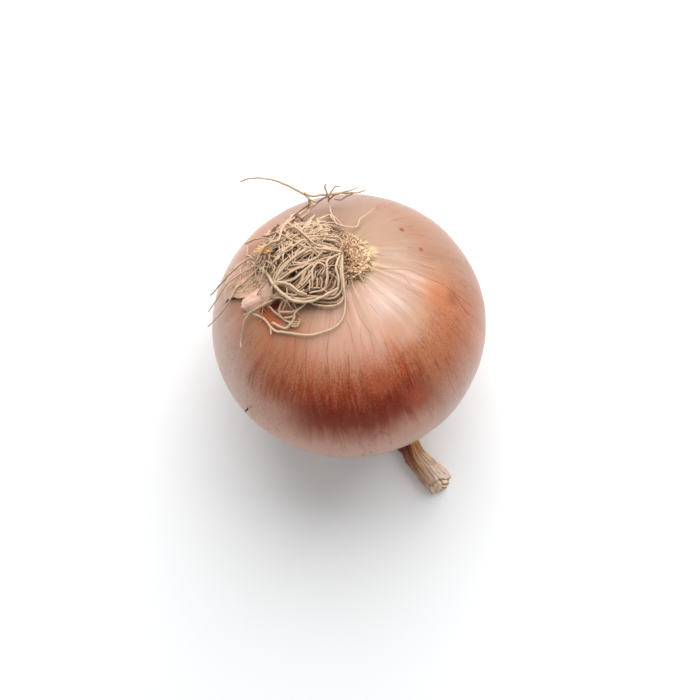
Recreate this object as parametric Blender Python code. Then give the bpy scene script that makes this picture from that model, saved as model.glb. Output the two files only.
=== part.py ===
"""A brown cooking onion lying as it was put down: root end up, dried neck bent flat under it.

The bulb, its root plate, the matted tuft of dry roots, the long loose roots, the dried neck with the
leaves rolled inside it and the loose papery skins are separate solids, 0.3 mm clear of each other.

Frame: origin in the middle of the flat spot that the bulb rests on, +Z up, neck towards -Y.
"""

from math import cos, hypot, pi, radians, sin, sqrt

import bmesh
import bpy
from mathutils import Matrix, Vector

MM = 0.001

# The bulb
BULB_RADIUS = 37.5 * MM
BULB_HALF_HEIGHT = 32.3 * MM
FLAT_SPOT_DEPTH = 0.45 * MM
SHOULDER_RADIUS = 18.0 * MM
SHOULDER_RISE = 7.7 * MM
NECK_BASE_RADIUS = 5.0 * MM
ROUND_STEPS = 48
OUTLINE_STEPS = 20

# How it lies
TILT = radians(33.0)
LEAN = radians(11.0)

# What sits on the bulb: pieces that touch in the real onion stay this far apart
GAP = 0.3 * MM
PLATE_PLACE = (1.2 * MM, -1.0 * MM)
PLATE_RADIUS = 8.2 * MM
PLATE_HEIGHT = 2.2 * MM
TUFT_PLACE = (-9.8 * MM, 3.2 * MM)
TUFT_RADII = (10.4 * MM, 14.5 * MM)
TUFT_HEIGHT = 6.0 * MM
TUFT_CLEAR_OF_PLATE = 10.8 * MM
TUFT_RAMP = 2.6 * MM
SKIN_THICKNESS = 0.35 * MM

# The neck: middle of each section, its level direction, half width and half height, in mm
NECK_SECTIONS = (
    ((6.3, -26.3, 3.00), (0.35, -0.75, -0.40), 4.1, 3.0),
    ((9.0, -29.4, 2.80), (0.60, -0.77, -0.10), 3.3, 2.6),
    ((12.4, -33.5, 2.60), (0.65, -0.76, 0.0), 2.9, 2.4),
    ((15.8, -37.6, 2.50), (0.65, -0.76, 0.0), 2.8, 2.2),
    ((19.2, -41.5, 2.50), (0.64, -0.77, 0.0), 3.0, 2.3),
    ((22.5, -45.5, 2.55), (0.63, -0.78, 0.0), 3.7, 2.4),
    ((25.4, -49.0, 2.60), (0.63, -0.78, 0.10), 3.9, 2.5),
    ((28.0, -52.0, 2.30), (0.57, -0.70, 0.42), 3.4, 2.5),
)
NECK_SIDES = 16
NECK_WALL = 0.6 * MM
CUT_END_DEPTH = 3.0 * MM
LEAF_THICKNESS = 0.4 * MM
LEAF_LENGTH = 3.4 * MM

# Loose skins: place on the bulb, half sizes, bearing, rise of the lifted end, in mm and degrees
SKINS = {
    "torn_skin_left": ((-34.2, 6.0), (7.2, 6.5), 0, 0.0, "torn_skin"),
    "torn_skin_flap": ((-26.4, -3.6), (2.4, 4.2), 185, 0.8, "torn_skin"),
    "skin_flake_amber": ((-23.4, 9.3), (2.8, 1.6), -20, 0.0, "amber_skin"),
    "skin_flake_tan": ((-20.6, 16.6), (2.6, 1.8), -30, 0.5, "torn_skin"),
    "skin_flake_upper": ((-12.6, 20.0), (2.6, 1.5), 60, 0.8, "torn_skin"),
    "skin_chip_low": ((-43.4, -32.6), (1.6, 0.8), 215, 1.0, "dark_skin"),
}

# Long roots: thickness, then points as (east, north, height over the skin), all in mm.
# East and north are measured along the skin from the root end of the bulb.
LONG_ROOTS = (
    (0.8, ((-1, 12, 3), (-2, 15.5, 3.5), (-3.5, 19.5, 4.5), (-5, 20.5, 6.5), (-8.5, 20, 11),
           (-10.5, 20.5, 13), (-14, 20.5, 15.5), (-16.5, 21, 16))),
    (0.9, ((-8.5, 16.5, 5), (-6, 16.5, 3), (-3, 17, 2), (-0.5, 18.5, 3), (1, 20, 4.5),
           (3, 21.5, 4.5), (8.5, 23.5, 5))),
    (0.9, ((-2.5, 20, 2), (1, 20.5, 2.5), (3.5, 21.5, 2.5), (6.5, 22, 2.5), (10.5, 23, 3))),
    (0.8, ((-4.5, 15, 5.5), (-2, 17, 6), (0.5, 19, 6), (2, 19.5, 6.5), (3.5, 20, 7.5))),
    (0.5, ((2, 10, 1.5), (4, 9.5, 1.5), (6, 9, 1.5), (7.5, 10, 1.5), (10, 13, 1.5),
           (12.5, 15.5, 2))),
    (0.5, ((0.5, 11, 2), (0.5, 13, 1.5), (1, 15, 1.5), (1, 17.5, 1))),
    (0.9, ((-24.5, 9, 2), (-28, 9.5, 2), (-31.5, 10, 2), (-35, 10.5, 1.5),
           (-39.5, 11, 1.5), (-43, 11.5, 2))),
    (0.8, ((-23.5, 6, 2), (-28, 6.5, 2), (-33.5, 7, 1.5), (-39, 6, 1.5), (-45, 6, 2))),
    (0.8, ((-24.5, 3, 2), (-29.5, 3, 2), (-32.5, 0.5, 2), (-39, -0.5, 1.5), (-46.5, 1, 2))),
    (0.9, ((-19.5, -5, 2), (-25.5, -7, 3), (-28.5, -8.5, 2), (-30.5, -11, 1.5),
           (-32.5, -15, 1.5))),
    (0.8, ((-25.5, -10, 1.5), (-23, -11, 1), (-20, -14.5, 1), (-17, -17, 1),
           (-13.5, -19, 1), (-8, -19.5, 1), (-4, -19.5, 1), (-1.5, -17.5, 1),
           (0, -14, 1.5), (0, -11.5, 2.5))),
    (0.7, ((-18.5, -8, 1.5), (-18.5, -10.5, 1), (-16.5, -13, 1), (-12.5, -14, 1),
           (-10, -12, 1.5))),
)

# Colour (linear), roughness
FINISHES = {
    "bulb_skin": ((0.42, 0.13, 0.055), 0.38),
    "torn_skin": ((0.52, 0.28, 0.17), 0.55),
    "amber_skin": ((0.50, 0.24, 0.07), 0.45),
    "dark_skin": ((0.16, 0.05, 0.03), 0.6),
    "root_plate": ((0.50, 0.34, 0.18), 0.85),
    "dry_root": ((0.60, 0.44, 0.26), 0.8),
    "neck_skin": ((0.34, 0.17, 0.09), 0.6),
    "neck_leaf": ((0.50, 0.33, 0.20), 0.65),
}


def clear_scene():
    """Remove whatever the file starts with."""
    for thing in list(bpy.data.objects):
        bpy.data.objects.remove(thing, do_unlink=True)


def onion_frame():
    """Matrix from the bulb's own frame (axis along Z, root end up) to the world."""
    reach = hypot(BULB_RADIUS * sin(TILT), BULB_HALF_HEIGHT * cos(TILT))
    shift = (BULB_RADIUS**2 - BULB_HALF_HEIGHT**2) * sin(TILT) * cos(TILT) / reach
    centre = Vector((shift * sin(LEAN), -shift * cos(LEAN), reach - FLAT_SPOT_DEPTH))
    turn = Matrix.Rotation(LEAN, 4, "Z") @ Matrix.Rotation(-TILT, 4, "X")
    return Matrix.Translation(centre) @ turn


def skin_height(distance):
    """Height of the bulb's skin over its middle, at a distance from its axis."""
    return BULB_HALF_HEIGHT * sqrt(max(0.0, 1 - (distance / BULB_RADIUS) ** 2))


def over_skin(east, north, height):
    """Point at a height over the skin, east and north being measured along it from the root end."""
    along = hypot(east, north)
    angle = along / BULB_RADIUS
    toward = Vector((east, north, 0)) / along if along else Vector((1, 0, 0))
    on_skin = toward * BULB_RADIUS * sin(angle) + Vector((0, 0, BULB_HALF_HEIGHT * cos(angle)))
    out = Vector((
        on_skin.x / BULB_RADIUS**2, on_skin.y / BULB_RADIUS**2, on_skin.z / BULB_HALF_HEIGHT**2
    ))
    return onion_frame() @ (on_skin + out.normalized() * height)


def wrap_on_bulb(mesh, place):
    """Bend a piece modelled flat over the XY plane onto the bulb's skin, at its place."""
    for vert in mesh.verts:
        vert.co = over_skin(vert.co.x + place[0], vert.co.y + place[1], vert.co.z)


def dress(thing, finish):
    """Give an object its own Principled material."""
    colour, roughness = FINISHES[finish]
    material = bpy.data.materials.new(f"{thing.name}_{finish}")
    material.use_nodes = True
    shader = material.node_tree.nodes["Principled BSDF"]
    shader.inputs["Base Color"].default_value = (*colour, 1)
    shader.inputs["Roughness"].default_value = roughness
    shader.inputs["Metallic"].default_value = 0
    thing.data.materials.append(material)


def add_solid(name, mesh, finish):
    """Close, turn outwards and shade a bmesh, and link it as an object."""
    bmesh.ops.remove_doubles(mesh, verts=mesh.verts, dist=0.001 * MM)
    bmesh.ops.recalc_face_normals(mesh, faces=mesh.faces)
    data = bpy.data.meshes.new(name)
    mesh.to_mesh(data)
    mesh.free()
    for face in data.polygons:
        face.use_smooth = len(face.vertices) <= 4
    thing = bpy.data.objects.new(name, data)
    bpy.context.scene.collection.objects.link(thing)
    dress(thing, finish)


def spin_outline(outline, steps):
    """Solid of revolution about Z from a half outline of (distance, height) points."""
    mesh = bmesh.new()
    verts = [mesh.verts.new((distance, 0, height)) for distance, height in outline]
    edges = [mesh.edges.new(pair) for pair in zip(verts, verts[1:])]
    bmesh.ops.spin(mesh, geom=verts + edges, axis=(0, 0, 1), angle=2 * pi, steps=steps, use_merge=True)
    bmesh.ops.remove_doubles(mesh, verts=mesh.verts, dist=0.001 * MM)
    return mesh


def bulb_outline():
    """Outline of the bulb from its root end to the shoulder where the neck begins."""
    outline = []
    for step in range(OUTLINE_STEPS + 1):
        angle = pi * step / OUTLINE_STEPS
        distance = BULB_RADIUS * sin(angle)
        height = BULB_HALF_HEIGHT * cos(angle)
        if height < 0 and distance < SHOULDER_RADIUS:
            break
        outline.append((distance, height))
    for distance in (16 * MM, 13 * MM, 10 * MM, 7.5 * MM, NECK_BASE_RADIUS):
        rise = SHOULDER_RISE * (1 - distance / SHOULDER_RADIUS) ** 2
        outline.append((distance, -skin_height(distance) - rise))
    outline.append((0, outline[-1][1]))
    return outline


def make_bulb():
    """The bulb, cut flat where it rests."""
    mesh = spin_outline(bulb_outline(), ROUND_STEPS)
    bmesh.ops.transform(mesh, matrix=onion_frame(), verts=mesh.verts)
    everything = mesh.verts[:] + mesh.edges[:] + mesh.faces[:]
    bmesh.ops.bisect_plane(mesh, geom=everything, plane_no=(0, 0, -1), clear_outer=True)
    rim = [edge for edge in mesh.edges if edge.is_boundary]
    bmesh.ops.holes_fill(mesh, edges=rim)
    add_solid("bulb", mesh, "bulb_skin")


def make_root_plate():
    """The corky plate the roots grow from: a low button with a hollow middle."""
    radius, height = PLATE_RADIUS, PLATE_HEIGHT
    outline = (
        (0, GAP), (0.5 * radius, GAP), (radius, GAP), (1.02 * radius, GAP + 0.25 * height),
        (0.9 * radius, 0.75 * height), (0.7 * radius, height), (0.35 * radius, 0.85 * height),
        (0, 0.6 * height),
    )
    mesh = spin_outline(outline, 28)
    wrap_on_bulb(mesh, PLATE_PLACE)
    add_solid("root_plate", mesh, "root_plate")


def under_tuft(east, north):
    """Height of the tuft's underside: just over the skin, and over the root plate where it meets it."""
    away = hypot(east - PLATE_PLACE[0], north - PLATE_PLACE[1])
    climb = min(max((TUFT_CLEAR_OF_PLATE + TUFT_RAMP - away) / TUFT_RAMP, 0), 1)
    return GAP + climb * (PLATE_HEIGHT + GAP)


def make_root_tuft():
    """The matted tuft of roots as one mound of its true size, swept to the west of the plate."""
    mesh = bmesh.new()
    bmesh.ops.create_uvsphere(mesh, u_segments=28, v_segments=16, radius=1)
    for vert in mesh.verts:
        east, north = vert.co.x * TUFT_RADII[0], vert.co.y * TUFT_RADII[1]
        under = under_tuft(east + TUFT_PLACE[0], north + TUFT_PLACE[1])
        vert.co = (east, north, under + max(vert.co.z, 0) * TUFT_HEIGHT)
    wrap_on_bulb(mesh, TUFT_PLACE)
    add_solid("root_tuft", mesh, "dry_root")


def make_long_root(name, thickness, points):
    """One loose root: a tube along a smooth curve, thinner towards its tip."""
    curve = bpy.data.curves.new(name, "CURVE")
    curve.dimensions = "3D"
    curve.bevel_depth = thickness / 2 * MM
    curve.bevel_resolution = 1
    curve.use_fill_caps = True
    curve.resolution_u = 3
    spline = curve.splines.new("NURBS")
    spline.points.add(len(points) - 1)
    for index, (east, north, height) in enumerate(points):
        spline.points[index].co = (*over_skin(east * MM, north * MM, height * MM), 1)
        spline.points[index].radius = 1 - 0.45 * index / (len(points) - 1)
    spline.order_u = 4
    spline.use_endpoint_u = True
    thing = bpy.data.objects.new(name, curve)
    bpy.context.scene.collection.objects.link(thing)
    dress(thing, "dry_root")


def section_frame(middle, along):
    """Frame of a neck section: X across, Y up, Z along the neck."""
    along = Vector(along).normalized()
    across = along.cross(Vector((0, 0, 1))).normalized()
    up = across.cross(along)
    turn = Matrix((across, up, along)).transposed().to_4x4()
    return Matrix.Translation(Vector(middle)) @ turn


def cut_end_frame():
    """Frame of the slanting cut end: X across, Y up the cut, Z level along the neck."""
    middle, along, _, _ = NECK_SECTIONS[-1]
    frame = section_frame(Vector(middle) * MM, along)
    level = Vector((along[0], along[1], 0)).normalized()
    for row in range(3):
        frame[row][2] = level[row]
    return frame


def add_ring(mesh, frame, half_width, half_height, capped=False):
    """An oval ring of the neck's loft; returns its edges."""
    made = bmesh.ops.create_circle(mesh, cap_ends=capped, segments=NECK_SIDES, radius=1)
    size = Matrix.Diagonal((half_width, half_height, 1, 1))
    bmesh.ops.transform(mesh, matrix=frame @ size, verts=made["verts"])
    return list({edge for vert in made["verts"] for edge in vert.link_edges})


def hollow_cut_end(mesh):
    """Sink the slanting end face into the neck, leaving a thin wall."""
    caps = [face for face in mesh.faces if len(face.verts) > 4]
    end = min(caps, key=lambda face: face.calc_center_median().y)
    bmesh.ops.inset_region(mesh, faces=[end], thickness=NECK_WALL, use_even_offset=True)
    floor = bmesh.ops.extrude_discrete_faces(mesh, faces=[end])["faces"][0]
    frame = cut_end_frame()
    inwards = -CUT_END_DEPTH * frame.col[2].to_3d()
    bmesh.ops.translate(mesh, vec=inwards, verts=floor.verts)


def make_neck():
    """The dried neck: a flattened, bent tube with a hollow, slanting cut end."""
    mesh = bmesh.new()
    start = onion_frame() @ Vector((0, 0, bulb_outline()[-1][1] - GAP))
    away = onion_frame().to_3x3() @ Vector((0, 0, -1))
    base = NECK_BASE_RADIUS - GAP
    rings = [add_ring(mesh, section_frame(start, away), base, base, capped=True)]
    for middle, along, half_width, half_height in NECK_SECTIONS:
        frame = section_frame(Vector(middle) * MM, along)
        last = middle == NECK_SECTIONS[-1][0]
        rings.append(add_ring(mesh, frame, half_width * MM, half_height * MM, capped=last))
    for ring, following in zip(rings, rings[1:]):
        bmesh.ops.bridge_loops(mesh, edges=ring + following)
    bmesh.ops.recalc_face_normals(mesh, faces=mesh.faces)
    hollow_cut_end(mesh)
    add_solid("neck", mesh, "neck_skin")


def make_neck_leaf(name, half_width, half_height, first, last):
    """A dry leaf rolled inside the neck's cut end, as part of an oval sleeve."""
    mesh = bmesh.new()
    bmesh.ops.create_grid(mesh, x_segments=12, y_segments=1, size=1)
    made = bmesh.ops.extrude_face_region(mesh, geom=mesh.faces[:])
    outer = {item for item in made["geom"] if isinstance(item, bmesh.types.BMVert)}
    for vert in mesh.verts:
        angle = radians(first + (last - first) * (vert.co.x + 1) / 2)
        grow = LEAF_THICKNESS / 2 if vert in outer else -LEAF_THICKNESS / 2
        along_neck = (vert.co.y + 1) / 2 * LEAF_LENGTH - CUT_END_DEPTH + GAP
        vert.co = ((half_width + grow) * cos(angle), (half_height + grow) * sin(angle), along_neck)
    bmesh.ops.transform(mesh, matrix=cut_end_frame(), verts=mesh.verts)
    add_solid(name, mesh, "neck_leaf")


def make_loose_skin(name, place, half_size, bearing, rise, finish):
    """A thin papery skin lying on the bulb, rounded in plan, with one end lifted."""
    mesh = bmesh.new()
    bmesh.ops.create_grid(mesh, x_segments=8, y_segments=6, size=1)
    made = bmesh.ops.extrude_face_region(mesh, geom=mesh.faces[:])
    top = {item for item in made["geom"] if isinstance(item, bmesh.types.BMVert)}
    for vert in mesh.verts:
        x, y = vert.co.x, vert.co.y
        lift = GAP + rise * MM * ((x + 1) / 2) ** 2 + (SKIN_THICKNESS if vert in top else 0)
        vert.co = (
            x * sqrt(1 - y * y / 2) * half_size[0] * MM, y * sqrt(1 - x * x / 2) * half_size[1] * MM, lift
        )
    turn = Matrix.Rotation(radians(bearing), 4, "Z")
    bmesh.ops.transform(mesh, matrix=turn, verts=mesh.verts)
    wrap_on_bulb(mesh, (place[0] * MM, place[1] * MM))
    add_solid(name, mesh, finish)


clear_scene()
make_bulb()
make_root_plate()
make_root_tuft()
make_neck()
make_neck_leaf("neck_leaf_outer", 2.15 * MM, 1.4 * MM, 150, 400)
make_neck_leaf("neck_leaf_inner", 1.35 * MM, 0.6 * MM, -30, 230)
for skin_name, skin in SKINS.items():
    make_loose_skin(skin_name, *skin)
for number, (thick, route) in enumerate(LONG_ROOTS, 1):
    make_long_root(f"long_root_{number:02d}", thick, route)
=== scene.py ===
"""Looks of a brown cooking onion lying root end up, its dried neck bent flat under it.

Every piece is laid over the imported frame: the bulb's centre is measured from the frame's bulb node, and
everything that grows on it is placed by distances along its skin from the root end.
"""

import logging
import random
from collections.abc import Sequence
from dataclasses import dataclass
from enum import Enum
from functools import cached_property
from math import atan2, cos, hypot, pi, radians, sin, sqrt
from typing import Any

import bmesh
import bpy
from mathutils import Matrix, Vector, noise


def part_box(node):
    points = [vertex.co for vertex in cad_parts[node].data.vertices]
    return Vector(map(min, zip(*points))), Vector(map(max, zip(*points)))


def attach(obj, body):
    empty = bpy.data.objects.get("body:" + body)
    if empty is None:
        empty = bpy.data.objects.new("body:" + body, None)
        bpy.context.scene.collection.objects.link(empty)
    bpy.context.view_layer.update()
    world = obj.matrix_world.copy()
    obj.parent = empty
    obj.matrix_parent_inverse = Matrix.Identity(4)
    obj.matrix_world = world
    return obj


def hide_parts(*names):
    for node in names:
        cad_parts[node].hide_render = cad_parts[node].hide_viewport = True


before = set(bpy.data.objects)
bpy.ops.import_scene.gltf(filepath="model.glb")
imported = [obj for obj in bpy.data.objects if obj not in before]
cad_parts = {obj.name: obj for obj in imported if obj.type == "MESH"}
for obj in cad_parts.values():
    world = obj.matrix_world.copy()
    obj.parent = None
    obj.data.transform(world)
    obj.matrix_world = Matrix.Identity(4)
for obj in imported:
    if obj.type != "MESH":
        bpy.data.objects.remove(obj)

MM = 0.001
WELD = 0.002 * MM
# Blender's vector noise differs from run to run unless it gets a seed.
NOISE_SEED = 1
LOG = logging.getLogger("onion")

Point = tuple[float, float, float]
Route = Sequence[Point]
Places = Sequence[tuple[float, float]]
Bands = Sequence[tuple[float, str]]
Rgba = tuple[float, float, float, float]
Mesh = bmesh.types.BMesh
Tree = bpy.types.NodeTree
Socket = bpy.types.NodeSocket


# --------------------------------------------------------------------------------------------------
# Small tools
# --------------------------------------------------------------------------------------------------


def linear(hex_colour: str) -> Rgba:
    """Turn an sRGB hex colour into the linear values that shaders take.

    Args:
        hex_colour: Colour as #rrggbb.

    Returns:
        Linear red, green, blue and an alpha of 1.
    """
    shares = (int(hex_colour[start:start + 2], 16) / 255 for start in (1, 3, 5))
    red, green, blue = (s / 12.92 if s <= 0.04045 else ((s + 0.055) / 1.055) ** 2.4 for s in shares)
    return (red, green, blue, 1.0)


def ease(low: float, high: float, value: float) -> float:
    """Smooth step from 0 at low to 1 at high.

    Args:
        low: Value where the step starts.
        high: Value where the step ends, which may be below low.
        value: Value to judge.

    Returns:
        Share of the step, from 0 to 1.
    """
    share = min(max((value - low) / (high - low), 0.0), 1.0)
    return share * share * (3 - 2 * share)


def between(points: Sequence[Vector], share: float) -> Vector:
    """Point on a smooth Catmull-Rom curve through points.

    Args:
        points: Points that the curve passes through.
        share: Place along the curve, from 0 to 1.

    Returns:
        The point on the curve.
    """
    last = len(points) - 1
    place = min(max(share, 0.0), 1.0) * last
    index = min(int(place), last - 1)
    t = place - index
    a, b, c, d = (points[min(max(index + step, 0), last)] for step in (-1, 0, 1, 2))
    bend = 2 * a - 5 * b + 4 * c - d
    twist = 3 * (b - c) + d - a
    return (2 * b + (c - a) * t + bend * t * t + twist * t * t * t) / 2


def add_node(
    tree: Tree, kind: str, inputs: dict[str | int, Any] | None = None, output: str | int = 0,
    stops: Bands = (), **settings: Any,
) -> Socket:
    """Add one node with its settings, input values and links.

    Args:
        tree: Node tree that takes the node.
        kind: Type of shader node, such as Math.
        inputs: What each input takes: the output of another node, which is linked, or a fixed value.
        output: The output to hand back.
        stops: Positions and colours, on a colour ramp.
        settings: The node's own settings.

    Returns:
        The output socket.
    """
    node = tree.nodes.new(f"ShaderNode{kind}")
    for name, value in settings.items():
        setattr(node, name, value)
    for name, value in (inputs or {}).items():
        if isinstance(value, Socket):
            tree.links.new(value, node.inputs[name])
        else:
            node.inputs[name].default_value = value
    for index, (position, colour) in enumerate(stops):
        elements = node.color_ramp.elements
        stop = elements[index] if index < len(elements) else elements.new(position)
        stop.position = position
        stop.color = linear(colour)
    return node.outputs[output]


def within(tree: Tree, share: Socket | float, *limits: tuple[Socket, float, float]) -> Socket:
    """Keep a share where every value is past its limits, and fade it out before them.

    Args:
        tree: The material's tree.
        share: The share to keep.
        limits: Values, each with the limit where the share starts to show and the one where it is full.

    Returns:
        What is left of the share.
    """
    for value, start, full in limits:
        here = add_node(tree, "MapRange", {0: value, 1: start, 2: full}, interpolation_type="SMOOTHSTEP")
        share = add_node(tree, "Math", {0: share, 1: here}, operation="MULTIPLY")
    return share


def lay(tree: Tree, under: Socket, over: str | Socket, share: Socket) -> Socket:
    """Lay one colour over another.

    Args:
        tree: The material's tree.
        under: Colour beneath.
        over: Colour on top, from a node or as a hex value.
        share: Where the top colour shows.

    Returns:
        The mixed colour.
    """
    top = linear(over) if isinstance(over, str) else over
    return add_node(tree, "Mix", {0: share, 6: under, 7: top}, 2, data_type="RGBA")


# --------------------------------------------------------------------------------------------------
# The bulb's form, which places everything else
# --------------------------------------------------------------------------------------------------


@dataclass(frozen=True)
class BulbForm:
    """Size and lie of the bulb. Its own frame has the axis along Z, root end up."""

    radius: float = 37.5 * MM
    half_height: float = 32.3 * MM
    tilt: float = radians(33.0)
    lean: float = radians(11.0)

    @cached_property
    def matrix(self) -> Matrix:
        """Matrix from the bulb's frame to the row's frame; its centre comes from the bulb's CAD box."""
        low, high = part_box("bulb")
        turn = Matrix.Rotation(self.lean, 4, "Z") @ Matrix.Rotation(-self.tilt, 4, "X")
        axis = turn.col[2].to_3d()
        reach = [
            sqrt((self.radius**2) * (1 - part * part) + (self.half_height * part) ** 2) for part in axis
        ]
        centre = Vector(((low[0] + high[0]) / 2, high[1] - reach[1], high[2] - reach[2]))
        return Matrix.Translation(centre) @ turn

    def size_at(self, place: Vector) -> float:
        """Size of the bulb through a place in its own frame, as a share of the real one."""
        return sqrt((place.x**2 + place.y**2) / self.radius**2 + place.z**2 / self.half_height**2)

    def out_at(self, place: Vector) -> Vector:
        """Outward direction of the skin at a place in the bulb's frame."""
        flat, tall = self.radius**2, self.half_height**2
        return Vector((place.x / flat, place.y / flat, place.z / tall)).normalized()

    def over_skin(self, spot: Point) -> Vector:
        """Point over the skin.

        Args:
            spot: Distances along the skin from the root end, east and north, and the height over the
                skin, all in millimetres.

        Returns:
            The point in the row's frame.
        """
        east, north, height = (part * MM for part in spot)
        along = max(hypot(east, north), 1e-9)
        angle = along / self.radius
        ring = self.radius * sin(angle) / along
        place = Vector((east * ring, north * ring, self.half_height * cos(angle)))
        return self.matrix @ (place + self.out_at(place) * height)

    def relief(self, place: Vector) -> float:
        """Height of the skin's unevenness at a place in the bulb's frame, in metres."""
        around = Vector((place.x, place.y, 0)).normalized()
        angle = atan2(hypot(place.x, place.y) / self.radius, place.z / self.half_height)
        lobes = noise.noise(place / (30 * MM)) * 0.30
        broad = noise.noise(around * 6 + Vector((0, 0, angle * 0.7))) * 0.14
        ribs = noise.noise(around * 17 + Vector((0, 0, angle * 1.3))) * 0.06
        pucker = noise.noise(around * 12 + Vector((5, 0, 0))) * 0.25 * ease(0.65, 0.2, angle)
        folds = noise.noise(around * 4.5 + Vector((0, 9, 0))) * 0.9 * ease(2.5, 3.0, angle)
        return (lobes + broad + ribs + pucker + folds) * MM

    def clear(self, place: Vector, height: float) -> Vector:
        """Move a point out, where needed, to a least height over the skin.

        Args:
            place: Point in the row's frame.
            height: Least height over the skin, in metres.

        Returns:
            The point, moved or not.
        """
        own = self.matrix.inverted() @ place
        size = self.size_at(own)
        least = 1 + height / own.length * size
        return place if size >= least else self.matrix @ (own * (least / size))

    def on_relief(self, place: Vector) -> Vector:
        """Point of the uneven skin under a place, both in the row's frame."""
        own = self.matrix.inverted() @ place
        own = own / self.size_at(own)
        return self.matrix @ (own + self.out_at(own) * self.relief(own))


# --------------------------------------------------------------------------------------------------
# Finishes
# --------------------------------------------------------------------------------------------------


def new_material(name: str, roughness: float) -> tuple[bpy.types.Material, Tree, bpy.types.Node]:
    """Start a material with one Principled shader.

    Args:
        name: Name of the material.
        roughness: The shader's roughness.

    Returns:
        The material, its node tree and its shader node.
    """
    material = bpy.data.materials.new(name)
    material.use_nodes = True
    shader = material.node_tree.nodes["Principled BSDF"]
    shader.inputs["Roughness"].default_value = roughness
    return material, material.node_tree, shader


def dress(shader: bpy.types.Node, colour: Socket, relief: Socket, strength: float, depth: float) -> None:
    """Give a shader its colour and its fine relief.

    Args:
        shader: The Principled shader.
        colour: Its colour.
        relief: Height of the relief.
        strength: Strength of the bump.
        depth: Depth of the relief, in millimetres.
    """
    tree = shader.id_data
    values = {"Height": relief, "Strength": strength, "Distance": depth * MM}
    tree.links.new(colour, shader.inputs["Base Color"])
    tree.links.new(add_node(tree, "Bump", values), shader.inputs["Normal"])


class SkinPlace:
    """Where a point of the skin lies, as node outputs that every pattern on the bulb reads."""

    def __init__(self, tree: Tree, form: BulbForm) -> None:
        """Work the places out from the object's coordinates.

        Args:
            tree: The material's tree.
            form: The bulb's form.
        """
        inverse = form.matrix.inverted()
        self.tree = tree
        self.row = add_node(tree, "TexCoord", output="Object")
        # The bulb's own frame, in millimetres.
        self.own = add_node(tree, "Mapping", {
            "Vector": self.row, "Location": inverse.to_translation() / MM,
            "Rotation": inverse.to_euler("XYZ"), "Scale": (1 / MM,) * 3,
        })
        flat = add_node(tree, "VectorMath", {0: self.own, 1: (1, 1, 0)}, operation="MULTIPLY")
        away = add_node(tree, "VectorMath", {0: flat}, "Value", operation="LENGTH")
        squat = add_node(tree, "Math", {0: away, 1: form.half_height / form.radius}, operation="MULTIPLY")
        height = add_node(tree, "SeparateXYZ", {0: self.own}, "Z")
        angle = add_node(tree, "Math", {0: squat, 1: height}, operation="ARCTAN2")
        # Share of the way from root end to neck, and direction away from the axis.
        self.along = add_node(tree, "Math", {0: angle, 1: pi}, operation="DIVIDE")
        self.bearing = add_node(tree, "VectorMath", {0: flat}, operation="NORMALIZE")
        self.lines = self.meridians(form, angle)

    def meridians(self, form: BulbForm, angle: Socket) -> Socket:
        """Millimetres round the bulb, stretched along it, so that noise makes lengthwise streaks.

        Args:
            form: The bulb's form.
            angle: Angle from the root end.

        Returns:
            The coordinates, with a slight wander.
        """
        round_bulb = add_node(
            self.tree, "VectorMath", {0: self.bearing, "Scale": form.radius / MM}, operation="SCALE"
        )
        length = add_node(self.tree, "Math", {0: angle, 1: 2.4}, operation="MULTIPLY")
        rise = add_node(self.tree, "CombineXYZ", {2: length})
        wander = add_node(self.tree, "TexNoise", {
            "Vector": self.own, "Scale": 0.055, "Detail": 2.0, "Roughness": 0.5
        }, "Color")
        sway = add_node(
            self.tree, "VectorMath", {0: wander, 1: (5.0, 5.0, 0.0), 2: (-2.5, -2.5, 0.0)},
            operation="MULTIPLY_ADD"
        )
        lines = add_node(self.tree, "VectorMath", {0: round_bulb, 1: rise}, operation="ADD")
        return add_node(self.tree, "VectorMath", {0: lines, 1: sway}, operation="ADD")

    def pattern(self, place: Socket, scale: float, detail: float, roughness: float) -> Socket:
        """Noise over the skin.

        Args:
            place: Coordinates that it reads.
            scale: Cells a millimetre.
            detail: Octaves.
            roughness: Strength of the finer octaves.

        Returns:
            Its value.
        """
        values = {"Vector": place, "Scale": scale, "Detail": detail, "Roughness": roughness}
        return add_node(self.tree, "TexNoise", values)

    def facing(self, degrees: float) -> Socket:
        """Cosine of the angle between a place's bearing and a given one."""
        aim = (cos(radians(degrees)), sin(radians(degrees)), 0)
        return add_node(self.tree, "VectorMath", {0: self.bearing, 1: aim}, "Value", operation="DOT_PRODUCT")


@dataclass(frozen=True)
class Patch:
    """Round patch of another colour on the skin.

    Its place is east and north in millimetres, with its radius, colour and the crispness of its border.
    """

    east: float
    north: float
    radius: float
    colour: str
    crisp: float = 0.0


@dataclass(frozen=True)
class Side:
    """Colours of one side of the skin, from root end to neck.

    The bearing of its middle is in degrees. Its colours are pure out to one angle from there, and gone
    at another. The bands are shares of the way from root end to neck with their colours.
    """

    bearing: float
    pure: float
    gone: float
    bands: Bands


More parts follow.
